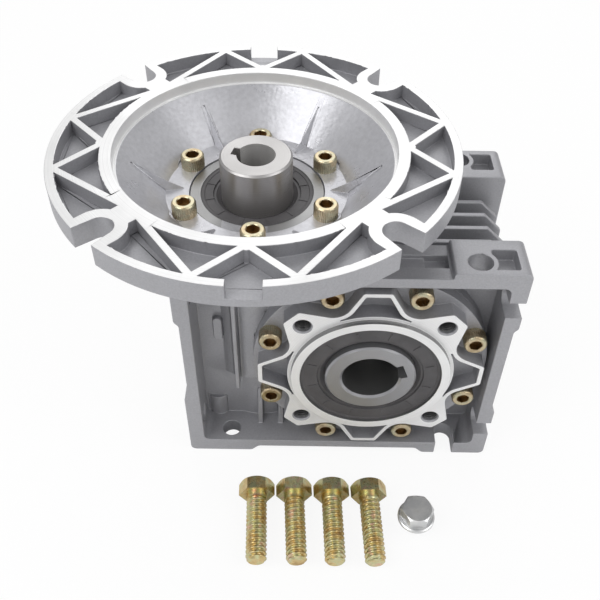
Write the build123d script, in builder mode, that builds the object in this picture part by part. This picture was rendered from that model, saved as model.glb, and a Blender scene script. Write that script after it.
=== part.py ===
"""Right-angle worm gear reducer with a hollow output shaft and a round motor flange.

The origin is the centre of the hollow output shaft. The output axis lies along Y, with the bolted cover
at -Y. The worm axis is vertical, along Z, and the motor flange is at +Z. All sizes are in millimetres.
"""

from math import acos, atan2, cos, degrees, hypot, pi, radians, sin, tan
import os

from build123d import *

# Gearing
centre_distance = 50.0
gear_module = 2.5
wheel_teeth = 30
pressure_angle = 20.0
tooth_thinning = 0.3
tip_clearance = 0.5
wheel_width = 22.0
wheel_tip_allowance = 0.8
thread_turns_each_side = 3
thread_end_trim = 1.0
thread_embed = 0.4
thread_trim = 6.5

# Clearances
seat_gap = 0.02
running_gap = 0.1
seam_gap = 0.05
cut_overrun = 1.0

# Housing
wheel_clearance = 2.2
cover_screw_wall = 4.5
left_margin = 4.5
right_margin = 8.0
half_width = 42.5
plate_thickness = 8.0
side_wall = 7.2
rail_depth = 18.0
web_thickness = 3.0
fin_thickness = 2.4
fin_pitch = 9.0
fin_top_setback = 7.5
fin_right_setback = 3.0
fin_left_setback = 10.0
fin_corner = 8.0
chamber_wall = 3.8
tube_radius = 29.5
lower_tube_radius = 26.0
tube_step_height = -21.0
pad_radius = 38.0
pad_thickness = 12.0
nose_radius = 28.3
nose_height = 7.0
worm_cavity_radius = 20.0
tapped_depth = 13.0
flange_tapped_depth = 11.0
tall_rib_setback = 23.0
tall_rib_thickness = 2.0
tall_rib_reach = 8.5
tall_rib_bottom = -24.0
tall_rib_top = 48.0
cast_lug_setback = 16.0
cast_lug_height = 10.0
cast_lug_width = 4.0
cast_lug_length = 14.0
cast_lug_stand = 2.5
corner_boss_setback = 13.3
corner_boss_radius = 5.2
corner_boss_rise = 13.0
window_half_width = 4.9
window_shoulder_rise = 4.0
window_peak_rise = 8.0
case_gusset_offsets = (-0.1, 9.9)
case_gusset_reach = 7.5
case_gusset_top_reach = 1.5
case_gusset_rise = 20.0

# Feet
pad_recess = 3.4
side_recess = 1.7
rail_drop = 3.0
left_foot_length = 30.0
left_recess = 2.0
left_lower_foot = -21.0
left_upper_foot = 30.0
right_foot_start = 29.5
right_lower_foot = -27.0
right_upper_foot = 29.0
top_foot_start = 29.0
opening_round = 3.0
foot_pocket_setback = 9.7
foot_pocket_y = 33.4
foot_pocket_length = 10.0
foot_pocket_width = 11.8
foot_pocket_depth = 5.5
top_boss_radius = 7.2
channel_y = 31.75
channel_width = 7.5
channel_start = -30.0
channel_step = 18.7
channel_end = 28.0
channel_depth = 5.0
channel_deep_depth = 6.5
foot_hole_radius = 4.3
notch_half_width = 4.25
top_hole_radius = 5.0
foot_hole_setback = 20.0
foot_hole_y = 35.0
side_hole_z = 40.0

# Output side
shaft_bore_radius = 12.5
shaft_radius = 20.0
hub_stand = 3.5
bolt_face_stand = 1.0
spigot_radius = 35.0
key_width = 8.0
key_reach = 15.8
output_key_angle = 20.0
mount_screw_pcd = 85.0
mount_hole_radius = 3.5
mount_hole_depth = 16.0
mount_hole_mouth = 4.2
output_bearing_outside = 34.0
output_bearing_width = 15.0
output_ball = 7.94
race_shoulder = 0.25
seal_outside = 31.0
seal_width = 8.0
seal_setback = 1.2
seal_back_land = 5.5
seal_lip_back = 2.2
seal_lip_rise = 2.5
seal_lip_bottom = 3.2
seal_lip_top = 2.4
seal_face_step = 2.0
seal_face_land = 2.6
seal_face_dip = 1.6
shaft_shoulder_radius = 23.5
wheel_seat_radius = 28.0
bore_chamfer = 1.0
edge_chamfer = 0.8

# Output cover
cover_recess = 6.5
cover_thickness = 6.0
cover_screw_count = 8
scallop_radius = 8.3
lobe_setback = 2.5
cardinal_half_width = 5.8
diagonal_half_width = 4.6
lobe_wall = 2.0
lobe_tip_round = 1.0
ring_groove_depth = 1.8
ring_groove_width = 2.4
pocket_inner_radius = 36.6
pocket_half_width = 14.5

# Socket head screws, M6
screw_radius = 3.0
screw_head_radius = 5.0
screw_head_height = 6.0
screw_socket = 5.0
screw_socket_depth = 3.2
screw_grip = 18.0
screw_tip_chamfer = 0.6
screw_head_chamfer = 0.5

# Worm shaft
input_bore_radius = 7.94
input_bore_bottom = 27.0
input_key_width = 4.76
input_key_reach = 10.1
input_key_angle = 165.0
worm_hub_radius = 15.0
worm_hub_stand = 25.0
worm_collar_radius = 17.5
worm_collar_width = 4.3
worm_neck_radius = 14.0
worm_tail_neck_radius = 11.5
worm_tail_radius = 10.0
worm_tail_setback = 10.4
tail_bearing_setback = 26.0
tail_bearing_width = 14.0
tail_ball = 7.94
input_bearing_setback = 11.7
input_bearing_width = 9.0
input_ball = 4.76
worm_bore_radius = 23.5
input_seal_width = 7.0
input_seal_setback = 0.4
circlip_width = 1.75
circlip_depth = 1.25
circlip_radial_width = 2.4
circlip_gap_angle = 14.0
circlip_ear_angle = 4.0
circlip_ear_radius = 2.2
circlip_ear_hole = 0.9
end_cap_width = 7.0
end_cap_setback = 1.0
end_cap_wall = 1.5

# Motor flange
flange_radius = 82.55
flange_stand = 30.0
rim_height = 9.4
rim_wall = 3.6
register_radius = 57.15
register_depth = 4.9
register_wall = 4.9
pocket_depth = 6.0
rib_width = 3.0
rib_embed = 1.0
outer_node_angle = 13.0
slot_setback = 7.95
slot_radius = 5.3
slot_mouth = 12.6
slot_wall = 5.0
slot_angle = 45.0
cut_out_width = 12.5
dish_floor_radius = 38.0
dish_plate = 7.6
flange_screw_circle = 33.0
flange_screw_count = 6
screw_seat_radius = 6.4
gusset_inner_radius = 31.0
gusset_outer_radius = 50.0
gusset_knee_rise = 5.4
gusset_top_rise = 11.2
gusset_half_width = 4.0
gusset_taper = 42.0
flange_foot_radius = 44.0
register_step = 1.15
inner_node_radius = 2.2
far_node_angle = 41.5
seal_ring_thickness = 1.6

# Loose hardware, lying on the same surface as the reducer
hex_bolt_length = 31.75
hex_bolt_radius = 4.76
hex_bolt_flats = 14.29
hex_bolt_head = 6.2
hex_bolt_chamfer = 1.0
hex_bolt_spacing = 17.23
hex_bolt_first = -50.0
hex_bolt_back = -72.2
hex_bolt_fan = (2.1, 2.9, 2.3, 2.9)
plug_place = (22.5, -82.5)
plug_flats = 13.0
plug_flange_radius = 8.3
plug_flange_height = 1.8
plug_head_height = 6.0
plug_thread_radius = 5.0
plug_thread_length = 7.0

# Derived places
worm_x = -centre_distance
worm_axis = Axis((worm_x, 0, 0), (0, 0, 1))
worm_plan = Plane((worm_x, 0, 0))
worm_section = Plane((worm_x, 0, 0), x_dir=(1, 0, 0), z_dir=(0, -1, 0))
front_view = Plane.XZ
rear_view = Plane((0, 0, 0), x_dir=(-1, 0, 0), z_dir=(0, 1, 0))
worm_lead = pi * gear_module
wheel_pitch_radius = wheel_teeth * gear_module / 2
worm_pitch_radius = centre_distance - wheel_pitch_radius
worm_root_radius = worm_pitch_radius - gear_module - tip_clearance
wheel_root_radius = wheel_pitch_radius - gear_module - tip_clearance
wheel_outside_radius = wheel_pitch_radius + gear_module + wheel_tip_allowance
chamber_radius = wheel_outside_radius + wheel_clearance
cover_screw_circle = chamber_radius + cover_screw_wall
drum_radius = cover_screw_circle + cover_screw_wall
lobe_reach = drum_radius - lobe_setback
half_height = drum_radius + plate_thickness
left_reach = centre_distance + tube_radius + left_margin
right_reach = drum_radius + right_margin
rail_inner_face = half_width - rail_depth
cover_front = half_width - cover_recess
bolt_face = half_width + bolt_face_stand
hub_half_length = half_width + hub_stand
cover_seat = cover_front - cover_thickness
mount_screw_offset = mount_screw_pcd / 2 * cos(radians(45))
seal_back = hub_half_length - seal_setback - seal_width
output_bearing_face = seal_back - output_bearing_width
chamber_back = output_bearing_face - chamber_wall
cover_screw_start = 180 / cover_screw_count
flange_screw_start = 180 / flange_screw_count
foot_hole_x = right_reach - foot_hole_setback
left_hole_x = left_reach - foot_hole_setback
nose_top = half_height + nose_height
worm_hub_top = half_height + worm_hub_stand
worm_tail_end = worm_tail_setback - half_height
tail_bearing_face = tail_bearing_setback - half_height
input_bearing_face = half_height - input_bearing_setback
dish_floor = half_height + dish_plate
flange_face = half_height + flange_stand
motor_bolt_circle = flange_radius - slot_setback
rim_underside = flange_face - rim_height
rim_inner_radius = flange_radius - rim_wall
register_level = flange_face - register_depth
register_outer_radius = register_radius + register_wall
groove_radius = worm_bore_radius + circlip_depth
input_circlip_level = input_bearing_face + input_bearing_width + seat_gap
tail_circlip_level = tail_bearing_face - tail_bearing_width - seat_gap - circlip_width

os.makedirs("parts", exist_ok=True)


def polar(radius, angle):
    """Point at a radius and an angle in degrees."""
    return (radius * cos(radians(angle)), radius * sin(radians(angle)))


def save(piece, name):
    """Label a finished piece and write it to its own file."""
    piece.part.label = name
    export_step(piece.part, f"parts/{name}.step")


def tangent_point(centre, radius, outside, side):
    """Where a line from an outside point touches a circle, on the given side."""
    dx = outside[0] - centre[0]
    dy = outside[1] - centre[1]
    turn = degrees(atan2(dy, dx)) + side * degrees(acos(radius / hypot(dx, dy)))
    touch = polar(radius, turn)
    return (centre[0] + touch[0], centre[1] + touch[1])


def star_outline(inset):
    """Face of eight lobes with a scallop round each cover screw, drawn smaller by the inset."""
    reach = lobe_reach - inset
    step = 360 / cover_screw_count
    corners = []
    for lobe in range(cover_screw_count):
        half_width_here = (cardinal_half_width, diagonal_half_width)[lobe % 2] - inset / 2
        spread = degrees(atan2(half_width_here, reach))
        for side in (-1, 1):
            corners.append(polar(hypot(half_width_here, reach), lobe * step + side * spread))
    radius = scallop_radius + inset
    with BuildSketch() as star:
        Polygon(*corners, align=None)
        for gap in range(cover_screw_count):
            angle = cover_screw_start + gap * step
            centre = polar(cover_screw_circle, angle)
            first = corners[2 * gap + 1]
            last = corners[(2 * gap + 2) % len(corners)]
            mouth = (
                centre,
                tangent_point(centre, radius, first, 1),
                first,
                polar(2 * lobe_reach, angle),
                last,
                tangent_point(centre, radius, last, -1),
            )
            Polygon(*mouth, align=None, mode=Mode.SUBTRACT)
            with Locations(centre):
                Circle(radius, mode=Mode.SUBTRACT)
    return star.sketch


def bearing_sections(bore, outside, width, ball):
    """Half sections of the outer race, the inner race and the ball cage, as sketches at x = radius."""
    pitch = (bore + outside) / 2
    with BuildSketch() as outer:
        with Locations((pitch + ball * race_shoulder, 0)):
            Rectangle(outside - pitch - ball * race_shoulder, width, align=(Align.MIN, Align.CENTER))
        with Locations((pitch, 0)):
            Circle(ball / 2 + running_gap / 2, mode=Mode.SUBTRACT)
    with BuildSketch() as inner:
        with Locations((bore + seat_gap, 0)):
            inner_wall = pitch - ball * race_shoulder - bore - seat_gap
            Rectangle(inner_wall, width, align=(Align.MIN, Align.CENTER))
        with Locations((pitch, 0)):
            Circle(ball / 2 + running_gap / 2, mode=Mode.SUBTRACT)
    with BuildSketch() as cage:
        with Locations((pitch, 0)):
            RegularPolygon(ball / 2, 8, rotation=22.5)
    return outer.sketch, inner.sketch, cage.sketch


# Socket head cap screw with its head seated on z = 0 and its shank downwards
with BuildPart() as socket_screw:
    with BuildSketch(Plane.XZ):
        Polygon(
            (0, -screw_grip),
            (screw_radius - screw_tip_chamfer, -screw_grip),
            (screw_radius, -screw_grip + screw_tip_chamfer),
            (screw_radius, 0),
            (screw_head_radius, 0),
            (screw_head_radius, screw_head_height - screw_head_chamfer),
            (screw_head_radius - screw_head_chamfer, screw_head_height),
            (0, screw_head_height),
            align=None,
        )
    revolve(axis=Axis.Z)
    with BuildSketch(Plane.XY.offset(screw_head_height)):
        RegularPolygon(screw_socket / 2, 6, major_radius=False)
    extrude(amount=-screw_socket_depth, mode=Mode.SUBTRACT)

# Lobed bolting boss of both output sides, drawn with z outwards along the output axis
with BuildPart() as lobed_boss:
    with BuildSketch(Plane.XY.offset(cover_front - seam_gap)) as boss_outline:
        add(star_outline(0))
        fillet(boss_outline.vertices().filter_by(lambda v: hypot(v.X, v.Y) > lobe_reach), lobe_tip_round)
    extrude(amount=bolt_face - cover_front + seam_gap)
    with BuildSketch(Plane.XY.offset(cover_front)):
        add(star_outline(lobe_wall))
        with BuildSketch(mode=Mode.INTERSECT):
            Rectangle(2 * lobe_reach, 2 * pocket_half_width)
            Rectangle(2 * pocket_half_width, 2 * lobe_reach)
        Circle(pocket_inner_radius, mode=Mode.SUBTRACT)
    extrude(amount=bolt_face - cover_front, mode=Mode.SUBTRACT)
    with BuildSketch(Plane.XY.offset(bolt_face)):
        Circle(spigot_radius)
    extrude(amount=hub_half_length - bolt_face)

# Everything that is bored out of an output side: seal bore, bearing bore and four tapped holes
with BuildPart() as output_bores:
    with BuildSketch(Plane.XY.offset(hub_half_length)):
        Circle(seal_outside + seat_gap)
    extrude(amount=seal_back - hub_half_length)
    with BuildSketch(Plane.XY.offset(seal_back)):
        Circle(output_bearing_outside + seat_gap)
    extrude(amount=chamber_back - seal_back)
    with BuildSketch(Plane.XY.offset(bolt_face)):
        with GridLocations(2 * mount_screw_offset, 2 * mount_screw_offset, 2, 2):
            Circle(mount_hole_radius)
    extrude(amount=-mount_hole_depth)
    mouth_depth = mount_hole_mouth - mount_hole_radius
    with BuildSketch(Plane.XY.offset(bolt_face)):
        with GridLocations(2 * mount_screw_offset, 2 * mount_screw_offset, 2, 2):
            Circle(mount_hole_mouth)
    extrude(amount=-mouth_depth, taper=45)

with BuildPart() as output_cover:
    with BuildSketch(front_view.offset(cover_seat)):
        Circle(drum_radius)
    extrude(amount=cover_thickness)
    with BuildSketch(front_view.offset(output_bearing_face)):
        Circle(chamber_radius - seam_gap)
    extrude(amount=cover_seat - output_bearing_face)
    with BuildSketch(front_view.offset(cover_seat)):
        Circle(chamber_radius)
        Circle(chamber_radius - ring_groove_depth, mode=Mode.SUBTRACT)
    extrude(amount=-ring_groove_width, mode=Mode.SUBTRACT)
    with Locations(front_view):
        add(lobed_boss.part)
        add(output_bores.part, mode=Mode.SUBTRACT)
    with BuildSketch(front_view.offset(cover_front)):
        with PolarLocations(cover_screw_circle, cover_screw_count, cover_screw_start):
            Circle(screw_radius + seat_gap)
    extrude(amount=-cover_thickness, mode=Mode.SUBTRACT)
save(output_cover, "output_cover")

with BuildPart() as cover_screws:
    with Locations(front_view.offset(cover_front)):
        with PolarLocations(cover_screw_circle, cover_screw_count, cover_screw_start):
            add(socket_screw.part)
save(cover_screws, "cover_screws")

# Sealing ring squeezed into its groove on the cover's spigot
with BuildPart() as cover_seal_ring:
    with BuildSketch(front_view.offset(cover_seat - seat_gap)):
        Circle(chamber_radius - seam_gap)
        Circle(chamber_radius - ring_groove_depth + seat_gap, mode=Mode.SUBTRACT)
    extrude(amount=2 * seat_gap - ring_groove_width)
save(cover_seal_ring, "cover_seal_ring")

# Four bearings: the section's plane, the axis it turns about, its middle along that axis, then its sizes
output_bearing_middle = output_bearing_face + output_bearing_width / 2
tail_bearing_middle = tail_bearing_face - tail_bearing_width / 2
input_bearing_middle = input_bearing_face + input_bearing_width / 2
output_sizes = (shaft_radius, output_bearing_outside, output_bearing_width, output_ball)
tail_sizes = (worm_tail_radius, worm_bore_radius, tail_bearing_width, tail_ball)
input_sizes = (worm_hub_radius, worm_bore_radius, input_bearing_width, input_ball)
bearings = {
    "front_output_bearing": (Plane.XY, Axis.Y, -output_bearing_middle, output_sizes),
    "rear_output_bearing": (Plane.XY, Axis.Y, output_bearing_middle, output_sizes),
    "tail_bearing": (worm_section, worm_axis, tail_bearing_middle, tail_sizes),
    "input_bearing": (worm_section, worm_axis, input_bearing_middle, input_sizes),
}
for bearing_name, (plane, axis, middle, sizes) in bearings.items():
    sections = bearing_sections(*sizes)
    for ring_name, section in zip(("outer_race", "inner_race", "ball_cage"), sections):
        with BuildPart() as bearing_ring:
            with BuildSketch(plane):
                with Locations((0, middle)):
                    add(section)
            revolve(axis=axis)
        save(bearing_ring, f"{bearing_name}_{ring_name}")


def seal_section(inner, outer, width):
    """Half section of a lip seal, its outer face at y = 0 and its body below."""
    lip = inner + running_gap
    corners = (
        (outer, 0),
        (outer, -width),
        (inner + seal_back_land, -width),
        (inner + seal_lip_back, seal_lip_rise - width),
        (lip, seal_lip_bottom - width),
        (lip, -seal_lip_top),
        (inner + seal_face_step, -seal_face_dip),
        (inner + seal_face_land, 0),
    )
    with BuildSketch() as section:
        Polygon(*corners, align=None)
    return section.sketch


output_seal_section = seal_section(shaft_radius, seal_outside, seal_width)
seal_face = hub_half_length - seal_setback

with BuildPart() as rear_output_seal:
    with BuildSketch(Plane.XY):
        with Locations((0, seal_face)):
            add(output_seal_section)
    revolve(axis=Axis.Y)
save(rear_output_seal, "rear_output_seal")

with BuildPart() as front_output_seal:
    add(mirror(rear_output_seal.part, about=Plane.XZ, mode=Mode.PRIVATE))
save(front_output_seal, "front_output_seal")

with BuildPart() as input_seal:
    with BuildSketch(worm_section):
        with Locations((0, nose_top - input_seal_setback)):
            add(seal_section(worm_hub_radius, worm_bore_radius, input_seal_width))
    revolve(axis=worm_axis)
save(input_seal, "input_seal")

# Hollow output shaft with the wheel seat in the middle
with BuildPart() as output_shaft:
    with BuildSketch(Plane.XY):
        shaft_profile = (
            (shaft_bore_radius, 0),
            (shaft_bore_radius, hub_half_length - bore_chamfer),
            (shaft_bore_radius + bore_chamfer, hub_half_length),
            (shaft_radius - edge_chamfer, hub_half_length),
            (shaft_radius, hub_half_length - edge_chamfer),
            (shaft_radius, output_bearing_face),
            (shaft_shoulder_radius, output_bearing_face),
            (shaft_shoulder_radius, wheel_width / 2),
            (wheel_seat_radius, wheel_width / 2),
            (wheel_seat_radius, 0),
        )
        Polygon(*shaft_profile, align=None)
        mirror(about=Plane.XZ)
    revolve(axis=Axis.Y)
    with BuildSketch(front_view):
        Rectangle(key_reach, key_width, rotation=output_key_angle, align=(Align.MIN, Align.CENTER))
    extrude(amount=hub_half_length, both=True, mode=Mode.SUBTRACT)
save(output_shaft, "output_shaft")

# Space between two wheel teeth, an involute gap cut on the slant of the worm's thread.
# It is drawn with z along the wheel's axis and points to -X, where the worm lies.
thread_slope = gear_module / (2 * worm_pitch_radius)
tooth_thickness = pi * gear_module / 2 - tooth_thinning
wheel_base_radius = wheel_pitch_radius * cos(radians(pressure_angle))


def involute(angle):
    """Involute function of an angle in radians."""
    return tan(angle) - angle


def gap_half_angle(radius):
    """Half angle in degrees of the space between two teeth, at a radius."""
    pressure_here = acos(min(1, wheel_base_radius / radius))
    tooth_half = tooth_thickness / (2 * wheel_pitch_radius)
    tooth_half += involute(radians(pressure_angle)) - involute(pressure_here)
    return 180 / wheel_teeth - degrees(tooth_half)


gap_reach = wheel_width / 2 + cut_overrun
gap_outer_radius = wheel_outside_radius + cut_overrun / 2
flank_radii = (wheel_base_radius, wheel_pitch_radius, wheel_pitch_radius + gear_module / 2, gap_outer_radius)
root_half_angle = gap_half_angle(wheel_base_radius)
with BuildPart() as tooth_gap:
    with BuildSketch(Plane((0, thread_slope * gap_reach, -gap_reach))):
        with BuildLine():
            Spline(*[polar(radius, 180 - gap_half_angle(radius)) for radius in flank_radii])
            Line(polar(gap_outer_radius, 180 - gap_half_angle(gap_outer_radius)),
                 polar(gap_outer_radius, 180 + gap_half_angle(gap_outer_radius)))
            Spline(*[polar(radius, 180 + gap_half_angle(radius)) for radius in flank_radii])
            Polyline(
                polar(wheel_base_radius, 180 + root_half_angle),
                polar(wheel_root_radius, 180 + root_half_angle),
                polar(wheel_root_radius, 180 - root_half_angle),
                polar(wheel_base_radius, 180 - root_half_angle),
            )
        make_face()
    extrude(amount=2 * gap_reach * hypot(1, thread_slope), dir=(0, -thread_slope, 1))

# Bronze rim of the worm wheel, with a throat that clears the worm's core
with BuildPart() as worm_wheel:
    with BuildSketch(Plane.XY):
        with Locations((wheel_seat_radius + seat_gap, 0)):
            rim_depth = wheel_outside_radius - wheel_seat_radius - seat_gap
            Rectangle(rim_depth, wheel_width, align=(Align.MIN, Align.CENTER))
        with Locations((centre_distance, 0)):
            Circle(worm_root_radius + tip_clearance, mode=Mode.SUBTRACT)
    revolve(axis=Axis.Y)
    with Locations(front_view):
        with PolarLocations(0, wheel_teeth):
            add(tooth_gap.part, mode=Mode.SUBTRACT)
save(worm_wheel, "worm_wheel")

# Single-start right-hand thread, crest at +X half way along, with both ends trimmed by a cone
thread_half = thread_turns_each_side * worm_lead
thread_end = thread_half - thread_end_trim
flank_run = tan(radians(pressure_angle))
with BuildPart() as worm_thread:
    with BuildLine():
        thread_path = Helix(worm_lead, 2 * thread_half, worm_pitch_radius, center=(0, 0, -thread_half))
    with BuildSketch(Plane(thread_path @ 0, x_dir=(1, 0, 0), z_dir=thread_path % 0)):
        half_pitch_thickness = tooth_thickness / 2
        crest = half_pitch_thickness - gear_module * flank_run
        root_depth = gear_module + tip_clearance + thread_embed
        root = half_pitch_thickness + root_depth * flank_run
        Polygon((gear_module, crest), (gear_module, -crest), (-root_depth, -root), (-root_depth, root),
                align=None)
    sweep(is_frenet=True)
    with BuildSketch(Plane.XZ):
        Polygon(
            (0, thread_end),
            (worm_root_radius, thread_end),
            (worm_root_radius + thread_trim, thread_end - thread_trim),
            (worm_root_radius + thread_trim, thread_half + worm_lead),
            (0, thread_half + worm_lead),
            align=None,
        )
        mirror(about=Plane.XZ)
    revolve(axis=Axis.Z, mode=Mode.SUBTRACT)

# Hollow worm: input hub, collar for its bearing, threaded core and tail journal
with BuildPart() as worm_shaft:
    with BuildSketch(worm_section):
        Polygon(
            (0, worm_tail_end),
            (worm_tail_radius - edge_chamfer, worm_tail_end),
            (worm_tail_radius, worm_tail_end + edge_chamfer),
            (worm_tail_radius, tail_bearing_face),
            (worm_tail_neck_radius, tail_bearing_face),
            (worm_tail_neck_radius, -thread_end - worm_tail_neck_radius + worm_root_radius),
            (worm_root_radius, -thread_end),
            (worm_root_radius, thread_end),
            (worm_neck_radius, thread_end + worm_neck_radius - worm_root_radius),
            (worm_neck_radius, input_bearing_face - worm_collar_width),
            (worm_collar_radius, input_bearing_face - worm_collar_width),
            (worm_collar_radius, input_bearing_face),
            (worm_hub_radius, input_bearing_face),
            (worm_hub_radius, worm_hub_top - edge_chamfer),
            (worm_hub_radius - edge_chamfer, worm_hub_top),
            (0, worm_hub_top),
            align=None,
        )
    revolve(axis=worm_axis)
    with Locations(worm_plan):
        add(worm_thread.part)
    with BuildSketch(worm_plan.offset(worm_hub_top)):
        Circle(input_bore_radius)
        Rectangle(input_key_reach, input_key_width, rotation=input_key_angle,
                  align=(Align.MIN, Align.CENTER))
    extrude(amount=input_bore_bottom - worm_hub_top, mode=Mode.SUBTRACT)
save(worm_shaft, "worm_shaft")


def circlip(level):
    """Internal circlip standing on a level in the worm bore, with two eared ends."""
    outer = groove_radius - running_gap / 2
    inner = worm_bore_radius - circlip_radial_width
    with BuildPart() as clip:
        with BuildSketch(worm_plan.offset(level)):
            Circle(outer)
            Circle(inner, mode=Mode.SUBTRACT)
            gap_corners = [polar(2 * outer, -90 + side * circlip_gap_angle) for side in (-1, 1)]
            Polygon((0, 0), *gap_corners, align=None, mode=Mode.SUBTRACT)
            for side in (-1, 1):
                with Locations(polar(inner, -90 + side * (circlip_gap_angle + circlip_ear_angle))):
                    Circle(circlip_ear_radius)
                    Circle(circlip_ear_hole, mode=Mode.SUBTRACT)
        extrude(amount=circlip_width)
    return clip


save(circlip(input_circlip_level), "input_circlip")
save(circlip(tail_circlip_level), "tail_circlip")

with BuildPart() as worm_end_cap:
    with BuildSketch(worm_plan.offset(-half_height + end_cap_setback)):
        Circle(worm_bore_radius - seat_gap)
    extrude(amount=end_cap_width)
    with BuildSketch(worm_plan.offset(-half_height + end_cap_setback + end_cap_wall)):
        Circle(worm_bore_radius - seat_gap - end_cap_wall)
    extrude(amount=end_cap_width - end_cap_wall, mode=Mode.SUBTRACT)
save(worm_end_cap, "worm_end_cap")

# Outline of the square bolting frames, seen from the front, with its raised feet
left_foot_end = left_reach - left_foot_length
frame_outline = (
    (-left_reach, -half_height),
    (-left_foot_end, -half_height),
    (-left_foot_end + pad_recess, -half_height + pad_recess),
    (right_foot_start - pad_recess, -half_height + pad_recess),
    (right_foot_start, -half_height),
    (right_reach, -half_height),
    (right_reach, right_lower_foot),
    (right_reach - side_recess, right_lower_foot + side_recess),
    (right_reach - side_recess, right_upper_foot - side_recess),
    (right_reach, right_upper_foot),
    (right_reach, half_height),
    (top_foot_start, half_height),
    (top_foot_start, half_height - rail_drop),
    (-left_reach, half_height - rail_drop),
    (-left_reach, left_upper_foot),
    (-left_reach + left_recess, left_upper_foot - left_recess),
    (-left_reach + left_recess, left_lower_foot + left_recess),
    (-left_reach, left_lower_foot),
)
opening_left = side_wall - left_reach
opening_right = right_reach - side_wall
opening_half_height = half_height - plate_thickness

# One of the two frames with its web, drawn with z outwards along the output axis
with BuildPart() as side_frame:
    with BuildSketch(Plane.XY.offset(rail_inner_face - web_thickness)):
        Polygon(*frame_outline, align=None)
    extrude(amount=web_thickness + rail_depth)
    with BuildSketch(Plane.XY.offset(half_width)) as frame_opening:
        with Locations(((opening_left + opening_right) / 2, 0)):
            Rectangle(opening_right - opening_left, 2 * opening_half_height)
        fillet(frame_opening.vertices(), opening_round)
    extrude(amount=-rail_depth, mode=Mode.SUBTRACT)

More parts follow.
